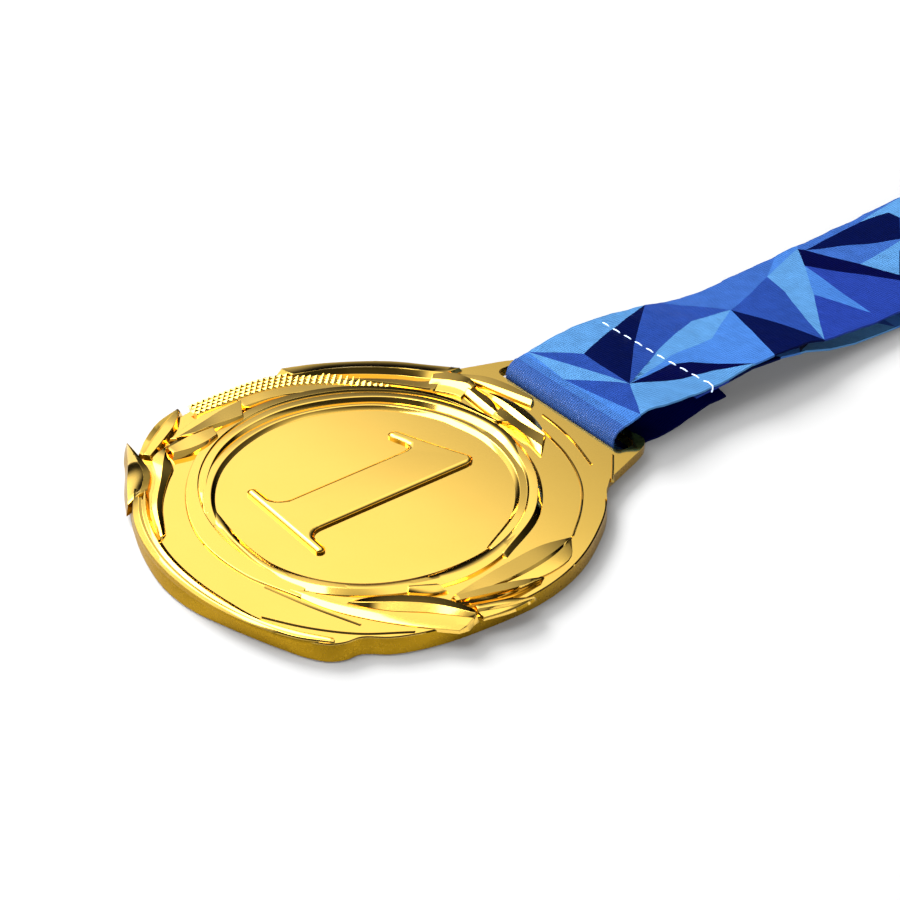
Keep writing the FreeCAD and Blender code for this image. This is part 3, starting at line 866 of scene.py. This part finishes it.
    def creases(self) -> list[bpy.types.Object]:
        """Builds the low raised lines on the plain border and hanger.

        Returns:
            The new objects.
        """
        lines = {
            "arc": [(3.5, 30.3, 0), (10, 28.9, 0), (18, 25, 0), (22, 21.3, 0), (26, 16.3, 0)],
            "arc_high": [(0, 33.1, 0), (4, 32.8, 0), (8.5, 31.9, 0), (14.5, 30, 0)],
            "facet": [(14.5, 34.2, 0), (17.0, 31.9, 0), (19.2, 29.8, 0)],
            "cut_a": [(29.3, -13.3, 0), (25, -19.5, 0), (20, -24, 0), (15, -27.3, 0)],
            "cut_b": [(24, -18, 0), (17, -21, 0), (10, -23.5, 0)],
        }
        made = []
        for name, line in lines.items():
            start, end = np.array(line[0]), np.array(line[-1])
            side = np.array([-(end - start)[1], (end - start)[0], 0.0])
            side /= np.linalg.norm(side)
            rails = [[tuple(np.array(p) + side * off + np.array([0, 0, h])) for p in line]
                     for off, h in ((0.34, -0.02), (0.10, 0.2), (-0.02, 0.22), (-0.12, -0.02))]
            made.append(loft("crease_" + name, rails, -0.3, 40, edge=0.0))
        return made

    def build(self, gold: bpy.types.Material,
              satin_gold_painted_shade: bpy.types.Material) -> bpy.types.Object:
        """Builds the whole casting as one piece and hands it to the frame.

        Args:
            gold: the polished plating of the face and back.
            satin_gold_painted_shade: the satin plating of the side walls, its darker colour painted
                shade.

        Returns:
            The finished medal.
        """
        parts = [self.plate(), self.numeral(), *self.rings(), *self.rim_forms(),
                 *self.leaves(), *self.hatch(), *self.creases()]
        medal = joined("medal_casting", parts)
        medal.data.materials.clear()
        medal.data.materials.append(gold)
        medal.data.materials.append(satin_gold_painted_shade)
        settle(medal, 32.0)
        # Steep faces below the top take the satin plating: rougher, and darker in colour as painted
        # shade.
        for face in medal.data.polygons:
            low = face.center.z < (self.thickness - 0.15) * MM
            face.material_index = 1 if low and abs(face.normal.z) < 0.75 else 0
        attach(medal, "medal")
        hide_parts("medal_body")
        return medal


# ---------------------------------------------------------------- the ribbon


BLUES = {
    "light": "#68ABEF", "azure": "#5291EF", "mid": "#4576D3", "peri": "#3156B7",
    "royal": "#2E4BB7", "navy": "#03104E", "ink": "#020647",
}

CORNERS = {
    "a": (-12.5, 84.0), "b": (-6.0, 84.0), "c": (-4.1, 77.7), "d": (12.5, 82.2),
    "e": (12.5, 70.4), "f": (-12.5, 69.6), "g": (-12.5, 65.9), "h": (-4.1, 68.4),
    "i": (2.5, 66.5), "j": (12.5, 65.9), "k": (0.2, 56.6), "l": (2.5, 57.0), "m": (4.1, 55.6),
    "n": (5.6, 58.7), "o": (9.4, 60.0), "p": (8.4, 54.6), "q": (5.3, 45.9), "r": (12.5, 41.5),
    "s": (-4.4, 56.2), "t": (-8.7, 55.3), "u": (-10.0, 59.0), "v": (-5.6, 46.2),
    "w": (-12.5, 40.5), "x": (-3.1, 54.6), "y": (-2.8, 39.6), "z1": (-12.5, 36.0),
    # w2 and r2 only split the fold's painted shade into two bands.
    "z2": (12.5, 36.0), "w2": (-12.5, 38.3), "r2": (12.5, 38.3), "A": (-12.5, 97.3),
    "B": (-8.7, 91.3), "C": (-3.1, 89.8),
    "F": (-10.6, 97.9), "G": (-11.6, 101.9), "H": (-7.1, 98.9), "I": (0.6, 92.9),
    "K": (10.0, 96.6), "L": (12.5, 96.0), "M": (6.3, 108.5), "N": (12.5, 101.0),
    "O": (-10.7, 102.9), "P": (-1.5, 106.9), "Q": (5.0, 109.6), "S": (-2.2, 119.1),
    "T": (0.0, 115.4), "U": (-10.0, 124.2), "V": (-7.5, 124.2), "W": (-3.4, 119.6),
    "X": (-11.3, 118.0), "Z": (-12.5, 102.9), "z3": (-12.5, 131.0), "z4": (12.5, 131.0),
    "z5": (-8.5, 131.0), "z6": (12.5, 116.0),
}

FACETS = (
    ("c e d", "navy"), ("c h k q l i", "light"), ("c i l m n j e", "azure"),
    ("j n m q p o", "ink"), ("j o p q r", "light"), ("g u t s", "navy"),
    ("g w v t u", "light"), ("f g s k h c", "peri"), ("a f c b", "mid"), ("b c d", "peri"),
    ("t v q x s", "navy"), ("s x q k", "peri"), ("k q l", "light"), ("l q m", "azure"),
    # The fold's facets w w2 r2 r y and w2 z1 z2 r2 take darker blues than the light print: painted
    # shade, deepest low on the fold where the cloth turns under the bar.
    ("v w q", "peri"), ("w y q", "light"), ("y r q", "peri"), ("w w2 r2 r y", "azure"),
    ("w2 z1 z2 r2", "mid"),
    ("A a b B", "mid"), ("B b d C", "peri"), ("G F B C d I H", "light"), ("Z A B F G", "azure"),
    ("H I K", "azure"), ("I d L K", "royal"), ("H K L N M", "royal"),
    ("O G H M Q P", "ink"), ("O P S", "mid"), ("P Q T S", "light"), ("X O S W V U", "navy"),
    ("Z G O X", "mid"), ("M N z6", "royal"), ("Q M z6 T", "navy"), ("T z6 V W S", "peri"),
    ("X U V z5 z3", "light"), ("Z X z3", "mid"), ("V z6 z4 z5", "royal"),
)


def slice_mesh(mesh: bmesh.types.BMesh, place: Point, normal: Point,
               clear_outer: bool = False) -> None:
    """Divides every face of a mesh along one plane.

    Args:
        mesh: the mesh to divide.
        place: a point of the plane.
        normal: the plane's outward direction.
        clear_outer: whether what lies outside the plane is removed.
    """
    bmesh.ops.bisect_plane(mesh, geom=mesh.verts[:] + mesh.edges[:] + mesh.faces[:],
                           plane_co=place, plane_no=normal, clear_outer=clear_outer)


@dataclass
class Ribbon:
    """The printed neck ribbon: one strip that goes round the bar, out, back and under the seam."""

    width: float = 25.0
    thick: float = 0.34
    bend_y: float = 38.5
    bend_r: float = 2.25
    tail_end: float = 60.0
    far_end: float = 53.4
    stack_start: float = 136.0
    stack_end: float = 198.0
    panels: int = 10
    stack_top: float = 6.65
    ink_strength: float = 0.29
    tight: tuple[float, float] = (-7.5, 1.2)
    tail_droop: float = 2.0
    columns: int = 12
    front_step: float = 1.6
    back_step: float = 6.0
    turn_step: float = 11.0
    least_step: float = 0.12
    end_margin: float = 0.3
    print_low: float = 36.0
    print_high: float = 131.0
    print_mark: float = 61.4
    tilt: Sequence[tuple[float, float]] = (
        (34, -.3), (38, .0), (42, .4), (47, -.35), (54, -.75), (60, -.35), (66, .4), (72, .95),
        (78, 1.1), (83, .35), (90, -.15), (101, -.75), (110, -.5), (130, 0.0))
    line: np.ndarray = field(default_factory=lambda: np.zeros((0, 2)))
    along: np.ndarray = field(default_factory=lambda: np.zeros(0))
    front_start: float = 0.0
    front_end: float = 0.0

    def route(self) -> None:
        """Works out the strip's centre line from the tail end to the far end, with lengths."""
        tail = through([(self.tail_end, 4.4, 0), (54.9, 4.35, 0), (51.1, 3.1, 0), (46.3, .8, 0),
                        (42.7, .2, 0), (38.5, .2, 0)], 120)[:, :2]
        turn = np.linspace(-math.pi / 2, -3 * math.pi / 2, 40)
        bend = np.stack([self.bend_y + self.bend_r * np.cos(turn),
                         .2 + self.bend_r + self.bend_r * np.sin(turn)], axis=1)
        front = through([(38.5, 4.7, 0), (43.3, 5.65, 0), (49.3, 5.8, 0), (54.4, 5.5, 0),
                         (61.4, 5.4, 0), (66, 5.25, 0), (72, 4.75, 0), (80.6, 4.05, 0),
                         (92.6, 3.75, 0), (102.6, 4.0, 0), (118.6, 5.2, 0), (130, 6.35, 0),
                         (self.stack_start, self.stack_top, 0)], 400)[:, :2]
        pieces = [tail, bend[1:], front[1:]]
        drop = (self.stack_top - .2) / (self.panels - 1)
        for panel in range(self.panels):
            high = self.stack_top - drop * panel
            out = panel % 2 == 0
            ends = (self.stack_start, self.stack_end) if out else (self.stack_end, self.stack_start)
            pieces.append(np.array([[y, high] for y in np.linspace(*ends, 16)])[1:])
            if panel < self.panels - 1:
                side = 1 if out else -1
                arc = np.linspace(math.pi / 2, -math.pi / 2, 8)[1:]
                pieces.append(np.stack([ends[1] + side * drop / 2 * np.cos(arc),
                                        high - drop / 2 + drop / 2 * np.sin(arc)], axis=1))
        back = through([(self.stack_start, .2, 0), (120, .2, 0), (104.6, .2, 0), (94.6, .6, 0),
                        (82.6, 1.9, 0), (71.6, 3.75, 0), (65.6, 4.75, 0), (61.4, 4.9, 0),
                        (self.far_end, 4.95, 0)], 240)[:, :2]
        pieces.append(back[1:])
        self.line = np.concatenate(pieces)
        steps = np.linalg.norm(np.diff(self.line, axis=0), axis=1)
        self.along = np.concatenate([[0.0], np.cumsum(steps)])
        self.front_start = self.along[len(tail) + len(bend) - 2]
        self.front_end = self.along[len(tail) + len(bend) - 2 + len(front) - 1]

    @property
    def length(self) -> float:
        """Gives the strip's whole length.

        Returns:
            The length in millimetres.
        """
        return float(self.along[-1])

    def print_place(self) -> float:
        """Finds where along the strip the print's own measure reads zero.

        Returns:
            A place along the strip.
        """
        on = self.on_front()
        return float(np.interp(self.print_mark, self.line[on, 0], self.along[on])) - self.print_mark

    def on_front(self) -> np.ndarray:
        """Marks the samples of the centre line that belong to the front run.

        Returns:
            One true or false for each sample.
        """
        return (self.along >= self.front_start) & (self.along <= self.front_end)

    def lay(self, x: np.ndarray, s: np.ndarray) -> np.ndarray:
        """Carries flat cloth places to where the cloth lies.

        Args:
            x: places across the cloth, from its middle.
            s: places along the strip.

        Returns:
            The points in the medal's frame.
        """
        y = np.interp(s, self.along, self.line[:, 0])
        z = np.interp(s, self.along, self.line[:, 1])
        # The runs that can be seen lean to one side or the other along their way.
        lean = np.interp(y, *zip(*self.tilt))
        on_front = np.clip((s - self.front_start + 1.5) / 6.0, 0, 1) * np.clip(
            (self.front_end - s) / 6.0, 0, 1)
        on_back = np.clip((98.0 - y) / 12.0, 0, 1) * (s > self.length - 90)
        on_tail = np.clip((self.front_start - 12 - s) / 6.0, 0, 1) * np.clip((y - 47) / 6.0, 0, 1)
        share = np.maximum(np.maximum(on_front, on_back), on_tail)
        z = z + lean * share * x / (self.width / 2)
        # The tail hangs lower towards its right edge.
        droop = np.clip((x - 1.0) / 11.5, 0, 1) ** 1.6 * np.clip((y - 43) / 8, 0, 1)
        z = z - self.tail_droop * droop * (s < self.front_start - 8)
        # The front run is slightly wavy and the woven edges are uneven.
        ripple = 0.07 * np.sin(y * 0.55 + x * 0.25) + 0.05 * np.sin(y * 0.9 - x * 0.5)
        z = z + ripple * on_front
        z = np.maximum(z, self.thick / 2 + 0.03)
        fray = 0.06 * np.sin(s * 5.1) + 0.05 * np.sin(s * 11.7 + 1.0)
        x = x + np.sign(x) * fray * (np.abs(x) > self.width / 2 - 0.05)
        return np.stack([x, y, z], axis=1)

    def cuts(self) -> list[float]:
        """Chooses where the strip is divided, closer together where it turns.

        Returns:
            Lengths along the strip.
        """
        places, last = [], 0.0
        heading = np.unwrap(np.arctan2(np.gradient(self.line[:, 1]), np.gradient(self.line[:, 0])))
        start = heading[0]
        for s, angle in zip(self.along, heading):
            limit = self.front_step if s < self.front_end + 2 else self.back_step
            turned = abs(angle - start) > math.radians(self.turn_step)
            if s - last > limit or (turned and s - last > self.least_step):
                places.append(float(s))
                last, start = s, angle
        return [p for p in places if self.end_margin < p < self.length - self.end_margin]

    def flat_cloth(self) -> bpy.types.Object:
        """Makes the flat printed strip: facets repeated head to tail, divided for bending, with the
        tail painted in the darkest ink as painted shade.

        Returns:
            The flat strip.
        """
        zero = self.print_place()
        period = self.print_high - self.print_low
        mesh = bmesh.new()
        shade = mesh.faces.layers.int.new("shade")
        names = list(BLUES)
        first = math.floor((0 - zero - self.print_low) / period)
        last = math.ceil((self.length - zero - self.print_low) / period)
        for turn in range(first, last):
            for corners, blue in FACETS:
                ring_points = []
                for corner in corners.split():
                    x, p = CORNERS[corner]
                    if turn % 2:
                        p = self.print_low + self.print_high - p
                        x = -x
                    ring_points.append(mesh.verts.new((x, p + zero + period * turn, 0.0)))
                face = mesh.faces.new(ring_points)
                face[shade] = names.index(blue)
        bmesh.ops.remove_doubles(mesh, verts=mesh.verts[:], dist=0.02)
        for place in (0.0, self.length):
            slice_mesh(mesh, (0, place, 0), (0, 1 if place else -1, 0), clear_outer=True)
        for place in self.cuts():
            slice_mesh(mesh, (0, place, 0), (0, 1, 0))
        for column in range(1, self.columns):
            slice_mesh(mesh, (-self.width / 2 + column * self.width / self.columns, 0, 0),
                       (1, 0, 0))
        bmesh.ops.recalc_face_normals(mesh, faces=mesh.faces[:])
        if mesh.faces[:][0].normal.z < 0:
            bmesh.ops.reverse_faces(mesh, faces=mesh.faces[:])
        data = bpy.data.meshes.new("ribbon_strip")
        mesh.to_mesh(data)
        mesh.free()
        strip = bpy.data.objects.new("ribbon_strip", data)
        bpy.context.collection.objects.link(strip)
        data.uv_layers.new(name="flat_cloth")
        data.color_attributes.new("print", "FLOAT_COLOR", "CORNER")
        cloth_map = data.uv_layers["flat_cloth"]
        tint = data.color_attributes["print"]
        inks = [(*(c * self.ink_strength for c in linear(BLUES[name])[:3]), 1.0) for name in names]
        shades = data.attributes["shade"].data
        for face in data.polygons:
            past_fold = face.center.y - self.front_start
            face.material_index = 1 if self.tight[0] < past_fold < self.tight[1] else 0
            # The tail under the bar and seam loses its print and takes the darkest ink all over:
            # painted shade.
            on_tail = past_fold < self.tight[0]
            ink = names.index("ink") if on_tail else shades[face.index].value
            for loop in face.loop_indices:
                point = data.vertices[data.loops[loop].vertex_index].co
                cloth_map.data[loop].uv = (point.x * MM, point.y * MM)
                tint.data[loop].color = inks[ink]
        return strip

    def build(self, satin: bpy.types.Material,
              stretched: bpy.types.Material) -> bpy.types.Object:
        """Builds the ribbon, lays it on its route and hides the frame's ribbon parts.

        Args:
            satin: the printed cloth.
            stretched: the same cloth where it is pulled tight round the fold.

        Returns:
            The finished ribbon.
        """
        strip = self.flat_cloth()
        flat = np.array([v.co for v in strip.data.vertices])
        laid = self.lay(flat[:, 0], flat[:, 1]) * MM
        strip.data.vertices.foreach_set("co", laid.astype(np.float32).ravel())
        strip.data.materials.append(satin)
        strip.data.materials.append(stretched)
        modify(strip, "SOLIDIFY", thickness=self.thick * MM, offset=0.0, use_even_offset=False)
        pick(strip)
        bpy.ops.object.shade_smooth_by_angle(angle=math.radians(50))
        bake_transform(strip)
        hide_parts("ribbon_bar_loop", "ribbon_neck_loop", "ribbon_far_end")
        return strip

    def surface(self, x: float, y: float) -> float:
        """Height of the front run's upper face at a place.

        Args:
            x: place across the ribbon.
            y: place along the medal's axis.

        Returns:
            The height in millimetres.
        """
        on = self.on_front()
        s = np.interp(y, self.line[on, 0], self.along[on])
        return float(self.lay(np.array([x]), np.array([s]))[0, 2]) + self.thick / 2

    def under(self, x: float, y: float) -> float:
        """Height of the tail's lower face at a place.

        Args:
            x: place across the ribbon.
            y: place along the medal's axis.

        Returns:
            The height in millimetres.
        """
        tail = self.along < self.front_start - 12
        s = np.interp(-y, -self.line[tail, 0], self.along[tail])
        return float(self.lay(np.array([x]), np.array([s]))[0, 2]) - self.thick / 2


@dataclass
class Seam:
    """The row of lockstitches that closes the ribbon round the bar."""

    ribbon: Ribbon
    stitches: int = 9
    pitch: float = 2.4
    visible: float = 1.35
    first_x: float = -10.9
    middle_y: float = 55.8
    slant: float = 0.074
    thread_r: float = 0.12
    dive: float = 0.15
    sink: float = 0.08

    def path(self) -> list[Point]:
        """Lists the thread's points: over the cloth, down, under it and up again.

        Returns:
            The points in the medal's frame.
        """
        points: list[Point] = []
        for index in range(self.stitches):
            x = self.first_x + self.pitch * index
            for step in range(5):
                over = x + self.visible * step / 4
                lift = 0.10 * math.sin(math.pi * step / 4) - 0.02
                y = self.middle_y + self.slant * over
                points.append((over, y, self.ribbon.surface(over, y) + lift))
            for under in (x + self.visible + self.dive, x + self.pitch - self.dive):
                y = self.middle_y + self.slant * under
                points.append((under, y, self.ribbon.under(under, y) - self.sink))
        # The last stitch ends in a short loose end over the ribbon's right edge.
        x, y, _ = points[-1]
        top = self.ribbon.surface(x, y)
        points += [(x + 0.2, y, top), (x + 0.9, y + .15, top + .10), (12.5, y + .1, top - .05),
                   (12.75, y - .1, top - .4), (12.8, y - .3, top - .9)]
        return points

    def build(self, thread: bpy.types.Material) -> bpy.types.Object:
        """Builds the thread and hands it to the frame.

        Args:
            thread: the thread's material.

        Returns:
            The finished stitches.
        """
        curve = bpy.data.curves.new("seam_stitches", "CURVE")
        curve.dimensions = "3D"
        curve.bevel_depth = self.thread_r * MM
        curve.bevel_resolution = 3
        curve.use_fill_caps = True
        points = self.path()
        spline = curve.splines.new("POLY")
        spline.points.add(len(points) - 1)
        for slot, (x, y, z) in zip(spline.points, points):
            slot.co = (x * MM, y * MM, z * MM, 1.0)
        stitches = bpy.data.objects.new("seam_stitches", curve)
        bpy.context.collection.objects.link(stitches)
        pick(stitches)
        bpy.ops.object.convert(target="MESH")
        stitches = named("seam_stitches")
        stitches.data.materials.append(thread)
        pick(stitches)
        bpy.ops.object.shade_smooth()
        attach(stitches, "bar_loop")
        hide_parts("seam_thread")
        return stitches


# ---------------------------------------------------------------- stage


@dataclass
class Studio:
    """Pale table, overhead softbox, key, fill and band lamps, the room's glow and the camera.

    Radiances and the room's levels are relative. The glow stops are pairs of the cosine of
    the angle from the glow's middle and a level, and the wall stops pairs of the height of
    the line of sight and a level.
    """

    box_direction: tuple[float, float, float] = (-0.45, -0.30, 0.84)
    box_distance: float = 0.95
    glow_direction: tuple[float, float, float] = (-0.33, -0.33, 0.88)
    box_size: float = 0.88
    box_radiance: float = 6.0
    key_direction: tuple[float, float, float] = (-0.92, 0.10, 0.58)
    key_distance: float = 1.5
    key_size: float = 0.72
    key_radiance: float = 60.0
    fill_direction: tuple[float, float, float] = (0.75, -0.55, 0.30)
    fill_size: float = 0.9
    fill_radiance: float = 19.0
    band_direction: tuple[float, float, float] = (-0.76, -0.02, 0.64)
    band_size: float = 0.62
    band_radiance: float = 5.0
    room_strength: float = 4.0
    wall_level: float = 0.16
    glow_stops: Sequence[tuple[float, float]] = (
        (0.0, 0.004), (0.30, 0.03), (0.45, 0.12), (0.507, 0.18), (0.528, 0.205),
        (0.545, 0.255), (0.56, 0.303), (0.575, 0.335), (0.61, 0.353), (0.69, 0.37), (1.0, 0.3))
    wall_stops: Sequence[tuple[float, float]] = (
        (0.0, 0.02), (0.10, 0.6), (0.32, 1.0), (0.44, 0.05), (1.0, 0.0))
    dark_side: tuple[float, float, float] = (0.82, -0.57, 0.0)
    backdrop_level: float = 0.92
    floor_colour: str = "#949494"
    camera_place: tuple[float, float, float] = (0.16824, -0.11783, 0.14696)
    camera_turn: tuple[float, float, float] = (56.186, -0.634, 52.089)
    camera_lens: float = 70.26

    def table(self) -> None:
        """Adds the floor."""
        clear_selection()
        bpy.ops.mesh.primitive_plane_add(size=4.0, location=(0, 0, -0.00003))
        floor = named("table_top")
        bpy.ops.object.transform_apply(location=True, rotation=True, scale=True)
        made, tree = blank("matt_white_laminate")
        where = add_node(tree, "ShaderNodeTexCoord")
        fleck = add_node(tree, "ShaderNodeTexNoise", {"Scale": 700.0},
                         {"Vector": where.outputs["Object"]})
        rough = add_node(tree, "ShaderNodeMapRange", {"To Min": 0.75, "To Max": 0.9},
                         {"Value": fleck.outputs["Fac"]})
        shader = add_node(tree, "ShaderNodeBsdfPrincipled",
                          {"Base Color": linear(self.floor_colour), "Specular IOR Level": 0.1},
                          {"Roughness": rough.outputs[0]})
        add_node(tree, "ShaderNodeOutputMaterial", {}, {"Surface": shader.outputs[0]})
        floor.data.materials.append(made)

    def lights(self) -> None:
        """Adds the lamps; the key and fill light matt surfaces, the band only shines in gold."""
        for name, direction, distance, size, radiance in (
                ("softbox", self.box_direction, self.box_distance, self.box_size,
                 self.box_radiance),
                ("key", self.key_direction, self.key_distance, self.key_size,
                 self.key_radiance),
                ("fill", self.fill_direction, self.key_distance, self.fill_size,
                 self.fill_radiance),
                ("band", self.band_direction, self.key_distance, self.band_size,
                 self.band_radiance)):
            toward = Vector(direction).normalized()
            clear_selection()
            bpy.ops.object.light_add(type="AREA", location=toward * distance)
            lamp = bpy.context.object
            lamp.name = name
            lamp.data.shape = "DISK"
            lamp.data.size = size
            lamp.data.energy = radiance * math.pi * math.pi * (size / 2) ** 2
            lamp.rotation_mode = "QUATERNION"
            lamp.rotation_quaternion = toward.to_track_quat("Z", "Y")
            lamp.visible_glossy = name in ("softbox", "band")
            lamp.visible_diffuse = name != "band"

    def room(self) -> None:
        """Gives the world a glow round the softbox, a dark side and a dim wall on that side."""
        world = bpy.data.worlds.new("studio_room")
        bpy.context.scene.world = world
        world.use_nodes = True
        tree = world.node_tree
        tree.nodes.clear()
        where = add_node(tree, "ShaderNodeTexCoord")
        toward = Vector(self.glow_direction).normalized()
        near = add_node(tree, "ShaderNodeVectorMath", {"operation": "DOT_PRODUCT", 1: toward},
                        {0: where.outputs["Generated"]})
        glow = add_node(tree, "ShaderNodeValToRGB", {}, {0: near.outputs["Value"]})
        split = add_node(tree, "ShaderNodeSeparateXYZ", {}, {0: where.outputs["Generated"]})
        rise = add_node(tree, "ShaderNodeMapRange",
                        {"interpolation_type": "SMOOTHSTEP", "From Min": 0.12, "From Max": 0.42,
                         "To Min": 0.03, "To Max": 1.0}, {"Value": split.outputs["Z"]})
        across = add_node(tree, "ShaderNodeVectorMath",
                          {"operation": "DOT_PRODUCT", 1: self.dark_side},
                          {0: where.outputs["Generated"]})
        shade = add_node(tree, "ShaderNodeMapRange",
                         {"interpolation_type": "SMOOTHSTEP", "From Min": 0.05, "From Max": 0.45,
                          "To Min": 1.0, "To Max": 0.03}, {"Value": across.outputs["Value"]})
        both = add_node(tree, "ShaderNodeMath", {"operation": "MULTIPLY"},
                        {0: rise.outputs[0], 1: shade.outputs[0]})
        wall = add_node(tree, "ShaderNodeValToRGB", {}, {0: split.outputs["Z"]})
        wall.color_ramp.interpolation = "EASE"
        for node, stops in ((glow, self.glow_stops), (wall, self.wall_stops)):
            while len(node.color_ramp.elements) < len(stops):
                node.color_ramp.elements.new(0.5)
            for element, (place, value) in zip(node.color_ramp.elements, stops):
                element.position = place
                element.color = (value, value, value, 1.0)
        near_wall = add_node(tree, "ShaderNodeMapRange",
                             {"interpolation_type": "SMOOTHSTEP", "From Min": -0.15,
                              "From Max": 0.2, "To Min": 0.0, "To Max": self.wall_level},
                             {"Value": across.outputs["Value"]})
        dim = add_node(tree, "ShaderNodeVectorMath", {"operation": "SCALE"},
                       {0: wall.outputs["Color"], "Scale": near_wall.outputs[0]})
        upper = add_node(tree, "ShaderNodeVectorMath", {"operation": "SCALE"},
                         {0: glow.outputs["Color"], "Scale": both.outputs[0]})
        level = add_node(tree, "ShaderNodeVectorMath", {"operation": "ADD"},
                         {0: upper.outputs[0], 1: dim.outputs[0]})
        room = add_node(tree, "ShaderNodeBackground", {"Strength": self.room_strength},
                        {"Color": level.outputs[0]})
        backdrop = add_node(tree, "ShaderNodeBackground", {"Color": (*[self.backdrop_level] * 3, 1.0)})
        ray = add_node(tree, "ShaderNodeLightPath")
        mix = add_node(tree, "ShaderNodeMixShader", {}, {0: ray.outputs["Is Camera Ray"],
                                                         1: room.outputs[0],
                                                         2: backdrop.outputs[0]})
        add_node(tree, "ShaderNodeOutputWorld", {}, {"Surface": mix.outputs[0]})

    def camera(self) -> None:
        """Adds the camera, looking down over the medal towards the ribbon."""
        clear_selection()
        bpy.ops.object.camera_add(location=self.camera_place,
                                  rotation=[math.radians(a) for a in self.camera_turn])
        camera = bpy.context.object
        camera.name = "camera"
        camera.data.lens = self.camera_lens
        camera.data.clip_start = 0.005
        bpy.context.scene.camera = camera
        bpy.context.scene.view_settings.view_transform = "Standard"

    def build(self) -> None:
        """Builds the whole stage."""
        self.camera()
        self.table()
        self.lights()
        self.room()


def main() -> None:
    """Builds the stage, then each sub-assembly in order."""
    logging.basicConfig(level=logging.INFO, format="%(message)s")
    Studio().build()
    medal = Medal().build(
        PolishedGoldPlate().material(),
        # Side-wall plating: satin roughness, with a darker colour that is painted shade.
        PolishedGoldPlate("gold_plated_zinc_satin_edge_painted_shade", colour="#BC9220",
                          worn_colour="#AD8418", roughness=0.3).material())
    LOG.info("medal: %d faces", len(medal.data.polygons))
    ribbon = Ribbon()
    ribbon.route()
    strip = ribbon.build(
        PrintedSatinRibbon().material(),
        PrintedSatinRibbon("polyester_satin_pulled_tight", roughness=0.34, gloss=0.55,
                           rib_depth=1.0).material())
    LOG.info("ribbon: %d faces, %.1f mm long", len(strip.data.polygons), ribbon.length)
    seam = Seam(ribbon).build(PolyesterThread().material())
    LOG.info("seam: %d faces", len(seam.data.polygons))


if __name__ == "__main__":
    main()
